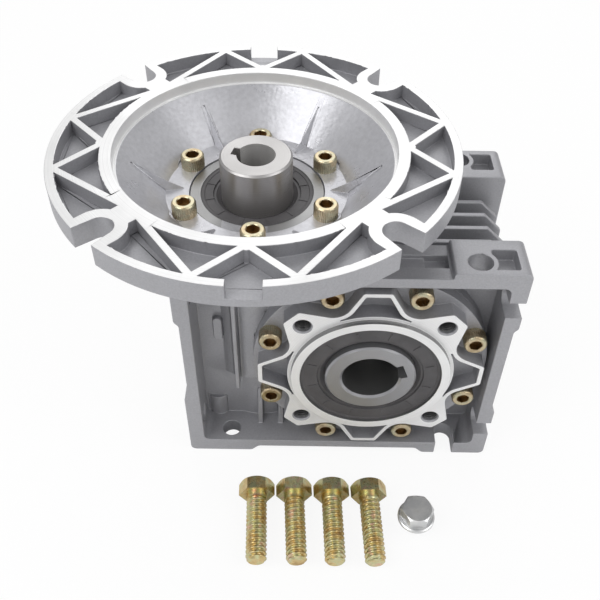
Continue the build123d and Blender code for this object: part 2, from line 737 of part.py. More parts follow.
with BuildPart() as housing:
    with Locations(front_view):
        add(side_frame.part)
    mirror(about=Plane.XZ)
    # Cooling fins between the two webs
    fin_left = left_reach - fin_left_setback
    fin_right = right_reach - fin_right_setback
    fin_top = half_height - fin_top_setback
    fin_planes = [front_view.offset((step - 1.5) * fin_pitch - fin_thickness / 2) for step in range(4)]
    with BuildSketch(*fin_planes):
        Polygon(
            (-fin_left, -fin_top),
            (fin_right - fin_corner, -fin_top),
            (fin_right, -fin_top + fin_corner),
            (fin_right, fin_top - fin_corner),
            (fin_right - fin_corner, fin_top),
            (-fin_left, fin_top),
            align=None,
        )
    extrude(amount=fin_thickness)
    # Drum round the output axis and tube round the worm
    with BuildSketch(front_view.offset(-cover_front)):
        Circle(drum_radius)
    extrude(amount=cover_front + cover_seat)
    with BuildSketch(worm_plan.offset(-half_height)):
        Circle(tube_radius)
    extrude(amount=plate_thickness)
    with BuildSketch(worm_plan.offset(-half_height)):
        Circle(lower_tube_radius)
    extrude(amount=half_height)
    with BuildSketch(worm_plan.offset(tube_step_height)):
        Circle(tube_radius)
    extrude(amount=half_height - tube_step_height)
    # Channels along the top of both frames
    channel_steps = (
        (channel_start, channel_step, channel_depth),
        (channel_step, channel_end, channel_deep_depth),
    )
    for start, end, depth in channel_steps:
        with BuildSketch(Plane.XY.offset(half_height)):
            with GridLocations(0, 2 * channel_y, 1, 2):
                with Locations(((start + end) / 2, 0)):
                    Rectangle(end - start, channel_width)
        extrude(amount=-depth, mode=Mode.SUBTRACT)
    # Round pad and nose that carry the motor flange
    with BuildSketch(worm_plan.offset(half_height - pad_thickness)):
        Circle(pad_radius)
        with Locations((centre_distance - left_reach, 0)):
            Rectangle(2 * pad_radius, 2 * pad_radius, align=(Align.MIN, Align.CENTER), mode=Mode.INTERSECT)
    extrude(amount=pad_thickness)
    with BuildSketch(worm_plan.offset(half_height)):
        Circle(nose_radius)
    extrude(amount=nose_height)
    with Locations(rear_view):
        add(lobed_boss.part)
    # Casting details in the corner below the flange
    with BuildSketch(Plane.YZ.offset(tall_rib_setback - left_reach)):
        Polygon(
            (-rail_inner_face - tall_rib_reach, tall_rib_bottom),
            (-rail_inner_face, tall_rib_bottom),
            (-rail_inner_face, tall_rib_top),
            (-rail_inner_face - tall_rib_reach, tall_rib_top),
            align=None,
        )
    extrude(amount=tall_rib_thickness)
    with BuildSketch(front_view.offset(rail_inner_face - web_thickness)):
        with Locations((cast_lug_setback - left_reach, cast_lug_height)):
            RectangleRounded(cast_lug_width, cast_lug_length, cast_lug_width / 2 - running_gap)
    extrude(amount=cast_lug_stand + web_thickness)
    gusset_planes = [Plane.YZ.offset(worm_x + offset - fin_thickness / 2) for offset in case_gusset_offsets]
    gusset_level = case_gusset_rise - opening_half_height
    with BuildSketch(*gusset_planes):
        Polygon(
            (-rail_inner_face, -opening_half_height),
            (-rail_inner_face - case_gusset_reach, -opening_half_height),
            (-rail_inner_face - case_gusset_top_reach, gusset_level),
            (-rail_inner_face, gusset_level),
            align=None,
        )
    extrude(amount=fin_thickness)
    corner_boss_x = corner_boss_setback - left_reach
    corner_boss_top = corner_boss_rise - opening_half_height
    with BuildSketch(Plane.XY.offset(-opening_half_height)):
        with Locations((corner_boss_x, web_thickness - rail_inner_face)):
            Circle(corner_boss_radius)
    extrude(amount=corner_boss_top + opening_half_height)
    with BuildSketch(front_view.offset(rail_inner_face)):
        with Locations((corner_boss_x, corner_boss_top)):
            Polygon(
                (-window_half_width, 0),
                (window_half_width, 0),
                (window_half_width, window_shoulder_rise),
                (0, window_peak_rise),
                (-window_half_width, window_shoulder_rise),
                align=None,
            )
    extrude(amount=-web_thickness, mode=Mode.SUBTRACT)
    # Chamber of the worm wheel and the bores of both shafts
    with BuildSketch(front_view.offset(-chamber_back)):
        Circle(chamber_radius)
    extrude(amount=chamber_back + cover_seat, mode=Mode.SUBTRACT)
    with Locations(rear_view):
        add(output_bores.part, mode=Mode.SUBTRACT)
    worm_bores = (
        (-half_height, tail_bearing_face, worm_bore_radius + seat_gap),
        (tail_bearing_face, input_bearing_face, worm_cavity_radius),
        (input_bearing_face, nose_top, worm_bore_radius + seat_gap),
        (tail_circlip_level - seat_gap, tail_circlip_level + circlip_width + seat_gap, groove_radius),
        (input_circlip_level - seat_gap, input_circlip_level + circlip_width + seat_gap, groove_radius),
    )
    for bottom, top, radius in worm_bores:
        with BuildSketch(worm_plan.offset(bottom)):
            Circle(radius)
        extrude(amount=top - bottom, mode=Mode.SUBTRACT)
    # Tapped holes for the cover and the flange
    with BuildSketch(front_view.offset(cover_seat)):
        with PolarLocations(cover_screw_circle, cover_screw_count, cover_screw_start):
            Circle(screw_radius + seat_gap)
    extrude(amount=-tapped_depth, mode=Mode.SUBTRACT)
    with BuildSketch(worm_plan.offset(half_height)):
        with PolarLocations(flange_screw_circle, flange_screw_count, flange_screw_start):
            Circle(screw_radius + seat_gap)
    extrude(amount=-flange_tapped_depth, mode=Mode.SUBTRACT)
    # Foot holes: round at the top and left, open notches at the bottom and right
    with BuildSketch(Plane.XY.offset(half_height)):
        with GridLocations(0, 2 * foot_hole_y, 1, 2):
            with Locations((foot_hole_x, 0)):
                Circle(top_hole_radius)
    extrude(amount=-plate_thickness, mode=Mode.SUBTRACT)
    with BuildSketch(Plane.XY.offset(half_height)):
        with GridLocations(0, 2 * foot_pocket_y, 1, 2):
            with Locations((right_reach - foot_pocket_setback, 0)):
                Rectangle(foot_pocket_length, foot_pocket_width)
        with GridLocations(0, 2 * foot_hole_y, 1, 2):
            with Locations((foot_hole_x, 0)):
                Circle(top_boss_radius, mode=Mode.SUBTRACT)
    extrude(amount=-foot_pocket_depth, mode=Mode.SUBTRACT)
    notch_length = half_width - foot_hole_y
    with BuildSketch(Plane.XY.offset(-half_height)):
        with GridLocations(0, 2 * foot_hole_y, 1, 2):
            with Locations((-left_hole_x, 0)):
                Circle(foot_hole_radius)
            with Locations((foot_hole_x, 0)):
                Circle(notch_half_width)
        with GridLocations(0, 2 * foot_hole_y + notch_length, 1, 2):
            with Locations((foot_hole_x, 0)):
                Rectangle(2 * notch_half_width, notch_length)
    extrude(amount=plate_thickness, mode=Mode.SUBTRACT)
    with BuildSketch(Plane.YZ.offset(-left_reach)):
        with GridLocations(2 * foot_hole_y, 2 * side_hole_z, 2, 2):
            Circle(foot_hole_radius)
    extrude(amount=side_wall, mode=Mode.SUBTRACT)
    with BuildSketch(Plane.YZ.offset(right_reach)):
        with GridLocations(2 * foot_hole_y, 2 * side_hole_z, 2, 2):
            Circle(notch_half_width)
        with GridLocations(2 * foot_hole_y + notch_length, 2 * side_hole_z, 2, 2):
            Rectangle(notch_length, 2 * notch_half_width)
    extrude(amount=-side_wall, mode=Mode.SUBTRACT)
save(housing, "housing")


def bar(start, end, width):
    """Corners of a straight bar between two points."""
    length = hypot(end[0] - start[0], end[1] - start[1])
    across = (width * (start[1] - end[1]) / (2 * length), width * (end[0] - start[0]) / (2 * length))
    return (
        (start[0] + across[0], start[1] + across[1]),
        (start[0] - across[0], start[1] - across[1]),
        (end[0] - across[0], end[1] - across[1]),
        (end[0] + across[0], end[1] + across[1]),
    )


# Wedge between the dish and its floor, drawn on the flange's own axis
with BuildPart() as dish_gusset:
    with BuildSketch(Plane.XZ):
        Polygon(
            (gusset_inner_radius, dish_floor),
            (dish_floor_radius, dish_floor + gusset_knee_rise),
            (gusset_outer_radius, dish_floor + gusset_top_rise),
            (gusset_outer_radius, dish_floor + gusset_half_width),
            (dish_floor_radius, dish_floor - gusset_half_width),
            (gusset_inner_radius, dish_floor - gusset_half_width),
            align=None,
        )
    extrude(amount=gusset_half_width, both=True, taper=gusset_taper)

# Round flange with a dished middle, a register for the motor and a ribbed rim
with BuildPart() as motor_flange:
    with BuildSketch(worm_section):
        Polygon(
            (nose_radius + seam_gap, half_height),
            (flange_foot_radius, half_height),
            (register_outer_radius, rim_underside),
            (flange_radius, rim_underside),
            (flange_radius, flange_face),
            (register_radius, flange_face),
            (register_radius, register_level),
            (register_radius - register_step, register_level),
            (dish_floor_radius, dish_floor),
            (nose_radius + seam_gap, dish_floor),
            align=None,
        )
    revolve(axis=worm_axis)
    with Locations(worm_plan):
        with PolarLocations(0, flange_screw_count):
            add(dish_gusset.part)
    # Pockets in the rim, with zigzag ribs and four slot bosses left standing
    rib_root_radius = register_outer_radius - rib_embed
    slot_boss_radius = slot_radius + slot_wall
    with BuildSketch(worm_plan.offset(flange_face)):
        Circle(rim_inner_radius)
        Circle(register_outer_radius, mode=Mode.SUBTRACT)
        for quarter in range(4):
            inner_node = polar(rib_root_radius, quarter * 90)
            with Locations(polar(register_outer_radius, quarter * 90)):
                Circle(inner_node_radius, mode=Mode.SUBTRACT)
            for side in (-1, 1):
                outer_node = polar(rim_inner_radius, quarter * 90 + side * outer_node_angle)
                far_node = polar(rib_root_radius, quarter * 90 + side * far_node_angle)
                Polygon(*bar(inner_node, outer_node, rib_width), align=None, mode=Mode.SUBTRACT)
                Polygon(*bar(outer_node, far_node, rib_width), align=None, mode=Mode.SUBTRACT)
            boss_start = polar(motor_bolt_circle, quarter * 90 + slot_angle)
            boss_end = polar(flange_radius, quarter * 90 + slot_angle)
            with Locations(boss_start):
                Circle(slot_boss_radius, mode=Mode.SUBTRACT)
            Polygon(*bar(boss_start, boss_end, 2 * slot_boss_radius), align=None, mode=Mode.SUBTRACT)
    extrude(amount=-pocket_depth, mode=Mode.SUBTRACT)
    # Open slots for the motor's bolts
    with BuildSketch(worm_plan.offset(flange_face)):
        with PolarLocations(motor_bolt_circle, 4, slot_angle):
            Circle(slot_radius)
            Polygon(
                (0, -slot_radius),
                (slot_setback, -slot_mouth / 2),
                (slot_setback + cut_overrun, -slot_mouth / 2),
                (slot_setback + cut_overrun, slot_mouth / 2),
                (slot_setback, slot_mouth / 2),
                (0, slot_radius),
                align=None,
            )
    extrude(amount=-rim_height, mode=Mode.SUBTRACT)
    with BuildSketch(worm_plan.offset(flange_face)):
        with PolarLocations((rim_inner_radius + flange_radius) / 2, 2, 90):
            Rectangle(2 * rim_wall, cut_out_width)
    extrude(amount=-pocket_depth, mode=Mode.SUBTRACT)
    # Screw seats, screw holes and the relief for the sealing ring
    with BuildSketch(worm_plan.offset(register_level)):
        with PolarLocations(flange_screw_circle, flange_screw_count, flange_screw_start):
            Circle(screw_seat_radius)
    extrude(amount=dish_floor - register_level, mode=Mode.SUBTRACT)
    with BuildSketch(worm_plan.offset(dish_floor)):
        with PolarLocations(flange_screw_circle, flange_screw_count, flange_screw_start):
            Circle(screw_radius + seat_gap)
    extrude(amount=half_height - dish_floor, mode=Mode.SUBTRACT)
    with BuildSketch(worm_plan.offset(half_height)):
        Circle(nose_radius + seal_ring_thickness)
    extrude(amount=seal_ring_thickness, mode=Mode.SUBTRACT)
save(motor_flange, "motor_flange")

with BuildPart() as flange_screws:
    with Locations(worm_plan.offset(dish_floor)):
        with PolarLocations(flange_screw_circle, flange_screw_count, flange_screw_start):
            add(socket_screw.part)
save(flange_screws, "flange_screws")

with BuildPart() as flange_seal_ring:
    with BuildSketch(worm_plan.offset(half_height + seat_gap)):
        Circle(nose_radius + seal_ring_thickness - seat_gap)
        Circle(nose_radius + seat_gap, mode=Mode.SUBTRACT)
    extrude(amount=seal_ring_thickness - 2 * seat_gap)
save(flange_seal_ring, "flange_seal_ring")

# Hexagon bolt with the under-head corner of one flat at the origin and its shank towards -Y
flat_height = hex_bolt_flats / 2
with BuildPart() as hex_bolt:
    with BuildSketch(Plane.XZ):
        with Locations((0, flat_height)):
            Circle(hex_bolt_radius)
    extrude(amount=hex_bolt_length)
    chamfer(hex_bolt.edges().sort_by(Axis.Y)[0], hex_bolt_chamfer)
    with BuildSketch(Plane.XZ):
        with Locations((0, flat_height)):
            RegularPolygon(flat_height, 6, major_radius=False)
    extrude(amount=-hex_bolt_head)

tip_drop = degrees(atan2(flat_height - hex_bolt_radius, hex_bolt_length))
with BuildPart() as motor_bolts:
    for number, turn in enumerate(hex_bolt_fan):
        place = (hex_bolt_first + number * hex_bolt_spacing, hex_bolt_back, -half_height)
        with Locations(Location(place) * Rotation(0, 0, turn) * Rotation(tip_drop, 0, 0)):
            add(hex_bolt.part)
save(motor_bolts, "motor_bolts")

# Plug standing on its threaded end
with BuildPart() as oil_plug:
    with BuildSketch(Plane.XY.offset(-half_height)):
        with Locations(plug_place):
            Circle(plug_thread_radius)
    extrude(amount=plug_thread_length)
    with BuildSketch(Plane.XY.offset(plug_thread_length - half_height)):
        with Locations(plug_place):
            Circle(plug_flange_radius)
    extrude(amount=plug_flange_height)
    with BuildSketch(Plane.XY.offset(plug_thread_length + plug_flange_height - half_height)):
        with Locations(plug_place):
            RegularPolygon(plug_flats / 2, 6, major_radius=False)
    extrude(amount=plug_head_height)
save(oil_plug, "oil_plug")
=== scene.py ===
"""Looks of the right-angle worm gear reducer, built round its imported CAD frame.

Shapes are drawn in millimetres in the frame's own axes and become metres when a piece is finished.
"""

from contextlib import contextmanager
from math import acos, atan2, cos, degrees, hypot, pi, radians, sin, tan

import bmesh
import bpy
from bpy.props import FloatProperty, FloatVectorProperty, PointerProperty
from mathutils import Matrix, Vector


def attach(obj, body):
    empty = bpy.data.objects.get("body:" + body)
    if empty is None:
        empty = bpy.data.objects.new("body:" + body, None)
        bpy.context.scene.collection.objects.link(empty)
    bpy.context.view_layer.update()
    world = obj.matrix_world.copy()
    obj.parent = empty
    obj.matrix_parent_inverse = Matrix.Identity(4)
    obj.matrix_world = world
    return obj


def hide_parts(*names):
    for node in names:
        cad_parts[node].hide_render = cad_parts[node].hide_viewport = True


bl_info = {
    "name": "Worm gear reducer",
    "version": (1, 0, 0),
    "blender": (4, 5, 0),
    "location": "View3D > Sidebar > Reducer",
    "description": "Builds the pieces, finishes and studio of a worm gear reducer",
    "category": "Add Mesh",
}

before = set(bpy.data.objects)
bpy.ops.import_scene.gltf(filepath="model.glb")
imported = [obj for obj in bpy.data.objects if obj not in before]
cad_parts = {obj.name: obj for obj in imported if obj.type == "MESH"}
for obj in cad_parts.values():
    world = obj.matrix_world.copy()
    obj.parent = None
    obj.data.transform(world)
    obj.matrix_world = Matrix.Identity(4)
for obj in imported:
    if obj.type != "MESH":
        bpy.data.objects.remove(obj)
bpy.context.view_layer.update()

MM = 0.001
FLOOR = -60
WORM_X = -50
WORM = Matrix.Translation((WORM_X, 0, 0))
FRONT = Matrix.Rotation(pi / 2, 4, "X")
REAR = Matrix.Rotation(pi, 4, "Z") @ FRONT
PLAIN = Matrix.Identity(4)
SHADE_ANGLE = 32
WHITE = (1, 1, 1, 1)
ROUND = 144
SMALL = 48
WIDE = 15

# Circles of holes: radius, number and angle of the first
COVER_SCREWS = (47.5, 8, 22.5)
FLANGE_SCREWS = (33, 6, 30)
TAPPED_HOLES = (42.5, 4, 45)
FLANGE_SLOTS = (74.6, 4, 45)
SCREW_HOLE = 3.02
LOBE_REACH = 49.5
SCALLOP_RADIUS = 8.3

BOLT_LENGTH = 31.75
BOLT_HEAD = 6.2
BOLT_FLATS = 14.29
BOLT_RADIUS = 4.65

BOSS_FINISHES = ("casting", "boss_face", "bored")
# Finishes of the frame's own nodes, by the first of these words that is in the name
INNER_FINISHES = (
    ("race", "race"), ("cage", "race"), ("ring", "rubber"), ("circlip", "spring"), ("", "bronze"),
)


# Plane outlines


def polar(radius, angle):
    """Point at a radius and an angle in degrees."""
    return (radius * cos(radians(angle)), radius * sin(radians(angle)))


def circle(radius, steps, centre):
    """Points of a circle."""
    points = (polar(radius, 360 * i / steps) for i in range(steps))
    return [(centre[0] + x, centre[1] + y) for x, y in points]


def rounded(width, height, radius, centre=(0, 0)):
    """Points of a rectangle with rounded corners."""
    points = []
    for quarter, (sx, sy) in enumerate(((1, 1), (-1, 1), (-1, -1), (1, -1))):
        corner_x = centre[0] + sx * (width / 2 - radius)
        corner_y = centre[1] + sy * (height / 2 - radius)
        for i in range(7):
            x, y = polar(radius, quarter * 90 + i * 15)
            points.append((corner_x + x, corner_y + y))
    return points


def bar(start, end, width):
    """Corners of a straight bar between two points."""
    length = hypot(end[0] - start[0], end[1] - start[1])
    ax, ay = width * (start[1] - end[1]) / (2 * length), width * (end[0] - start[0]) / (2 * length)
    return [
        (start[0] - ax, start[1] - ay),
        (end[0] - ax, end[1] - ay),
        (end[0] + ax, end[1] + ay),
        (start[0] + ax, start[1] + ay),
    ]


def tangent_point(centre, radius, outside, side):
    """Where a line from an outside point touches a circle, on the given side."""
    dx, dy = outside[0] - centre[0], outside[1] - centre[1]
    turn = degrees(atan2(dy, dx)) + side * degrees(acos(radius / hypot(dx, dy)))
    x, y = polar(radius, turn)
    return (centre[0] + x, centre[1] + y)


# Working solids, in millimetres


def solid(mesh, place=PLAIN):
    """Turns a bmesh into a placed working object with outward faces."""
    bmesh.ops.remove_doubles(mesh, verts=mesh.verts, dist=1e-5)
    bmesh.ops.transform(mesh, matrix=place, verts=mesh.verts)
    bmesh.ops.recalc_face_normals(mesh, faces=mesh.faces)
    data = bpy.data.meshes.new("work")
    mesh.to_mesh(data)
    mesh.free()
    piece = bpy.data.objects.new("work", data)
    bpy.context.scene.collection.objects.link(piece)
    return piece


def prism(outline, low, high, place=PLAIN):
    """Solid between two heights over an outline."""
    mesh = bmesh.new()
    ends = []
    for height in (low, high):
        ends.append([mesh.verts.new((x, y, height)) for x, y in outline])
    mesh.faces.new(ends[0][::-1])
    mesh.faces.new(ends[1])
    for i in range(len(outline)):
        j = (i + 1) % len(outline)
        mesh.faces.new((ends[0][i], ends[0][j], ends[1][j], ends[1][i]))
    return solid(mesh, place)


def rod(radius, low, high, place=PLAIN, steps=None, centre=(0, 0)):
    """Round solid between two heights, in finer steps where it is wide."""
    steps = steps or (ROUND if radius > WIDE else SMALL)
    return prism(circle(radius, steps, centre), low, high, place)


def block(low, high, place=PLAIN):
    """Box between two corners."""
    (x0, y0, z0), (x1, y1, z1) = low, high
    return prism([(x0, y0), (x1, y0), (x1, y1), (x0, y1)], z0, z1, place)


def lathe(profile, place=PLAIN, steps=ROUND, ripple=None):
    """Turns a closed profile of (radius, height) round the place's own z axis.

    A ripple changes a radius by its number in the profile and by the step round the axis.
    """
    mesh = bmesh.new()
    rings = []
    for i in range(steps):
        ring = []
        for number, (radius, height) in enumerate(profile):
            reach = radius + (ripple(number, i) if ripple else 0)
            ring.append(mesh.verts.new((*polar(reach, 360 * i / steps), height)))
        rings.append(ring)
    count = len(profile)
    for i in range(steps):
        here, there = rings[i], rings[(i + 1) % steps]
        for k in range(count):
            m = (k + 1) % count
            if profile[k][0] or profile[m][0]:
                mesh.faces.new((here[k], there[k], there[m], here[m]))
    return solid(mesh, place)


def threaded_rod(reach, low, high, pitch, place=PLAIN, steps=SMALL, per_turn=8):
    """Rod whose radius is reach(phase, height); the phase runs from 0 to 1 in each turn of the thread."""
    mesh = bmesh.new()
    levels = max(2, round((high - low) / pitch * per_turn))
    rows = []
    for level in range(levels + 1):
        height = low + (high - low) * level / levels
        row = []
        for i in range(steps):
            phase = (height / pitch - i / steps) % 1
            x, y = polar(reach(phase, height), 360 * i / steps)
            row.append(mesh.verts.new((x, y, height)))
        rows.append(row)
    for lower, upper in zip(rows, rows[1:]):
        for i in range(steps):
            j = (i + 1) % steps
            mesh.faces.new((lower[i], lower[j], upper[j], upper[i]))
    mesh.faces.new(rows[0][::-1])
    mesh.faces.new(rows[-1])
    return solid(mesh, place)


@contextmanager
def edited(data):
    """A bmesh of the mesh, written back at the end."""
    mesh = bmesh.new()
    mesh.from_mesh(data)
    yield mesh
    mesh.to_mesh(data)
    mesh.free()


def discard(piece):
    """Removes a working object and its mesh."""
    data = piece.data
    bpy.data.objects.remove(piece)
    bpy.data.meshes.remove(data)


def combine(base, tools, operation):
    """Works the tools into the base one after another and removes them."""
    for tool in tools:
        modifier = base.modifiers.new("combine", "BOOLEAN")
        modifier.operation = operation
        modifier.solver = "MANIFOLD"
        modifier.object = tool
        graph = bpy.context.evaluated_depsgraph_get()
        result = bpy.data.meshes.new_from_object(base.evaluated_get(graph))
        base.modifiers.clear()
        if not result.polygons:
            raise RuntimeError(f"a {operation.lower()} left nothing of {base.name}")
        worn = base.data
        base.data = result
        bpy.data.meshes.remove(worn)
        discard(tool)
    return base


def union(base, *tools):
    """Joins solids into the base."""
    return combine(base, tools, "UNION")


def cut(base, *tools):
    """Cuts solids out of the base."""
    return combine(base, tools, "DIFFERENCE")


def divide(piece, *cuts):
    """Divides the faces along planes across x, y and z, so that none keeps too winding an outline."""
    with edited(piece.data) as mesh:
        for axis, distances in zip(Matrix.Identity(3), cuts):
            for distance in distances:
                geometry = mesh.verts[:] + mesh.edges[:] + mesh.faces[:]
                bmesh.ops.bisect_plane(mesh, geom=geometry, dist=1e-3, plane_co=axis * distance,
                                       plane_no=axis)


def round_edges(piece, along, sharp, blunt, pick=None):
    """Rounds the edges along a direction, by a width for sharp corners and one for blunt corners.

    The function pick, where there is one, chooses the edges by their middle.
    """
    for low, high, width in ((105, 181, sharp), (28, 105, blunt)):
        with edited(piece.data) as mesh:
            chosen = []
            for edge in mesh.edges:
                start, end = (vertex.co for vertex in edge.verts)
                if abs((end - start).normalized().dot(along)) < 0.999 or len(edge.link_faces) != 2:
                    continue
                turn = degrees(edge.calc_face_angle(0))
                if low <= turn < high and (pick is None or pick((start + end) / 2)):
                    chosen.append(edge)
            bmesh.ops.bevel(mesh, geom=chosen, offset=width, offset_type="OFFSET", segments=4, profile=0.5,
                            affect="EDGES", clamp_overlap=True)


def copies(make, places):
    """The same solid at several places, joined into one loose object."""
    first = make()
    mesh = bmesh.new()
    for place in places:
        copy = first.data.copy()
        copy.transform(place)
        mesh.from_mesh(copy)
        bpy.data.meshes.remove(copy)
    discard(first)
    return solid(mesh)


def round_places(place, radius, count, start=0.0, height=0.0):
    """Places on a circle round the place's own z axis."""
    made = []
    for i in range(count):
        angle = start + 360 * i / count
        x, y = polar(radius, angle)
        made.append(place @ Matrix.Translation((x, y, height)) @ Matrix.Rotation(radians(angle), 4, "Z"))
    return made


def finish_piece(piece, name, finishes, nodes, body="casing", edge=0.0, chooser=None,
                 smooth=SHADE_ANGLE):
    """Names, scales, shades and dresses a working solid, and hands it to the frame."""
    piece.name = name
    piece.data.name = name
    piece.data.transform(Matrix.Scale(MM, 4))
    chosen = [face.material_index for face in piece.data.polygons]
    piece.data.materials.clear()
    for finish in finishes:
        piece.data.materials.append(FINISHES[finish])
    piece.data.polygons.foreach_set("material_index", chosen)
    if chooser:
        for face in piece.data.polygons:
            face.material_index = chooser(face.center / MM, face.normal)
    for face in piece.data.polygons:
        face.use_smooth = True
    if edge:
        bevel = piece.modifiers.new("edge", "BEVEL")
        bevel.width = edge * MM
        bevel.segments = 2
        bevel.limit_method = "ANGLE"
        bevel.angle_limit = radians(smooth)
        bevel.use_clamp_overlap = False
        bevel.harden_normals = True
        bevel.miter_outer = "MITER_ARC"
    mark_sharp(piece.data, smooth)
    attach(piece, body)
    if nodes:
        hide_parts(*nodes)
    return piece


def mark_sharp(data, angle):
    """Marks the edges that are sharper than an angle, so that the rest shade smoothly."""
    with edited(data) as mesh:
        for edge in mesh.edges:
            edge.smooth = len(edge.link_faces) == 2 and edge.calc_face_angle(0) < radians(angle)


# Finishes


def node(tree, kind, links=None, **settings):
    """Adds a node, sets its properties and links or sets its inputs."""
    made = tree.nodes.new(kind)
    for key, value in settings.items():
        setattr(made, key, value)
    for key, value in (links or {}).items():
        if isinstance(value, bpy.types.NodeSocket):
            tree.links.new(value, made.inputs[key])
        else:
            made.inputs[key].default_value = value
    return made


def maths(tree, operation, first, second):
    """Works on two numbers and returns the result socket."""
    return node(tree, "ShaderNodeMath", {0: first, 1: second}, operation=operation).outputs[0]


def noise(tree, place, scale, detail, roughness=0.5, distortion=0.0):
    """Noise over a place; returns its number socket."""
    links = {"Vector": place, "Scale": scale, "Detail": detail, "Roughness": roughness,
             "Distortion": distortion}
    return node(tree, "ShaderNodeTexNoise", links).outputs["Fac"]


def blend_colours(tree, factor, first, second, mode="MIX"):
    """Mixes two colours and returns the result socket."""
    links = {0: factor, 6: first, 7: second}
    return node(tree, "ShaderNodeMix", links, data_type="RGBA", blend_type=mode).outputs[2]


def ramp(tree, value, stops):
    """Colour ramp over a value; returns its colour socket."""
    made = node(tree, "ShaderNodeValToRGB", {"Fac": value})
    elements = made.color_ramp.elements
    while len(elements) < len(stops):
        elements.new(0.5)
    for element, (position, colour) in zip(elements, stops):
        element.position = position
        element.color = (*colour, 1)
    return made.outputs["Color"]


def grey(value):
    """A grey as three equal numbers."""
    return (value, value, value)


def tinted(colour, share):
    """A colour made darker or lighter."""
    return tuple(min(1, part * share) for part in colour)


def grain_nodes(tree, place, given):
    """Fine sand-cast or blasted grain over broad stains."""
    fine = noise(tree, place, given["Grain size"], 4.0, 0.6)
    pits = node(tree, "ShaderNodeTexVoronoi", {"Vector": place, "Scale": given["Grain size"]})
    return {
        "Height": maths(tree, "ADD", fine, pits.outputs["Distance"]),
        "Speckle": fine,
        "Stain": noise(tree, place, given["Stain size"], 6.0, 0.55),
    }


def turned_nodes(tree, place, given):
    """Fine rings left by a turning tool round an axis through a given centre."""
    kind = "ShaderNodeVectorMath"
    away = node(tree, kind, {0: place, 1: given["Centre"]}, operation="SUBTRACT").outputs[0]
    flat = node(tree, kind, {0: away, 1: given["Axis mask"]}, operation="MULTIPLY").outputs[0]
    reach = node(tree, kind, {0: flat}, operation="LENGTH").outputs["Value"]
    links = {"W": reach, "Scale": given["Ring density"], "Detail": 3.0, "Roughness": 0.7}
    rings = node(tree, "ShaderNodeTexNoise", links, noise_dimensions="1D").outputs["Fac"]
    return {"Height": rings, "Streak": maths(tree, "MULTIPLY", rings, noise(tree, place, 45.0, 4.0))}


def wear_nodes(tree, place, given):
    """Scuffs: small rubbed patches."""
    patches = noise(tree, place, given["Size"], 8.0, 0.7, 0.8)
    sharp = node(tree, "ShaderNodeMapRange", {"Value": patches, "From Min": 0.56, "From Max": 0.72})
    return {"Mask": maths(tree, "MULTIPLY", sharp.outputs["Result"], given["Amount"])}


# Node groups: label, inputs with their defaults, and what builds the outputs
RECIPES = {
    "grain": ("Cast grain", {"Grain size": 900.0, "Stain size": 60.0}, grain_nodes),
    "turned": ("Turning marks", {"Centre": (0, 0, 0), "Axis mask": (1, 1, 0), "Ring density": 2600.0},
               turned_nodes),
    "wear": ("Scuffs", {"Amount": 0.5, "Size": 120.0}, wear_nodes),
}
GROUPS = {}


def shared(name):
    """The node group of a name, built on first use."""
    if name in GROUPS:
        return GROUPS[name]
    label, inputs, build = RECIPES[name]
    tree = bpy.data.node_groups.new(label, "ShaderNodeTree")
    for key, value in inputs.items():
        kind = "NodeSocketVector" if isinstance(value, tuple) else "NodeSocketFloat"
        tree.interface.new_socket(key, in_out="INPUT", socket_type=kind).default_value = value
    place = node(tree, "ShaderNodeTexCoord").outputs["Object"]
    results = build(tree, place, node(tree, "NodeGroupInput").outputs)
    for key in results:
        tree.interface.new_socket(key, in_out="OUTPUT", socket_type="NodeSocketFloat")
    node(tree, "NodeGroupOutput", results)
    GROUPS[name] = tree
    return tree


def use(tree, name, **inputs):
    """Places a shared group in a material; input names have underscores for spaces."""
    made = tree.nodes.new("ShaderNodeGroup")
    made.node_tree = shared(name)
    for key, value in inputs.items():
        made.inputs[key.replace("_", " ")].default_value = value
    return made.outputs


def material(name, metallic, roughness):
    """New material with a Principled shader; returns it with its tree and shader."""
    made = bpy.data.materials.new(name)
    made.use_nodes = True
    tree = made.node_tree
    shader = tree.nodes["Principled BSDF"]
    shader.inputs["Metallic"].default_value = metallic
    shader.inputs["Roughness"].default_value = roughness
    return made, tree, shader


def bump(tree, shader, height, strength, distance):
    """Bump from a height, into the shader's normal."""
    made = node(tree, "ShaderNodeBump", {"Height": height, "Strength": strength, "Distance": distance})
    tree.links.new(made.outputs["Normal"], shader.inputs["Normal"])


def vary_roughness(tree, shader, value, span, ends):
    """Moves the roughness between two ends as a value runs over a span."""
    made = node(tree, "ShaderNodeMapRange", {"Value": value, "From Min": span[0], "From Max": span[1],
                                             "To Min": ends[0], "To Max": ends[1]})
    tree.links.new(made.outputs["Result"], shader.inputs["Roughness"])


def cast_metal(name, colour, metallic=0.45, roughness=0.42, depth=0.00006, size=1300.0):
    """Blasted aluminium casting with grain, stains and rubbed spots."""
    made, tree, shader = material(name, metallic, roughness)
    grain = use(tree, "grain", Grain_size=size, Stain_size=38.0)
    wear = use(tree, "wear", Amount=0.35, Size=85.0)
    light = tinted(colour, 1.09)
    speckled = ramp(tree, grain["Speckle"], ((0.3, tinted(colour, 0.92)), (0.5, colour), (0.72, light)))
    stain = ramp(tree, grain["Stain"], ((0.35, grey(0.8)), (0.65, grey(1.0))))
    stained = blend_colours(tree, 0.3, speckled, stain, "MULTIPLY")
    rubbed = blend_colours(tree, wear["Mask"], stained, (*light, 1))
    tree.links.new(rubbed, shader.inputs["Base Color"])
    vary_roughness(tree, shader, grain["Stain"], (0.3, 0.7), (roughness - 0.08, roughness + 0.1))
    bump(tree, shader, grain["Height"], 0.55, depth)
    return made


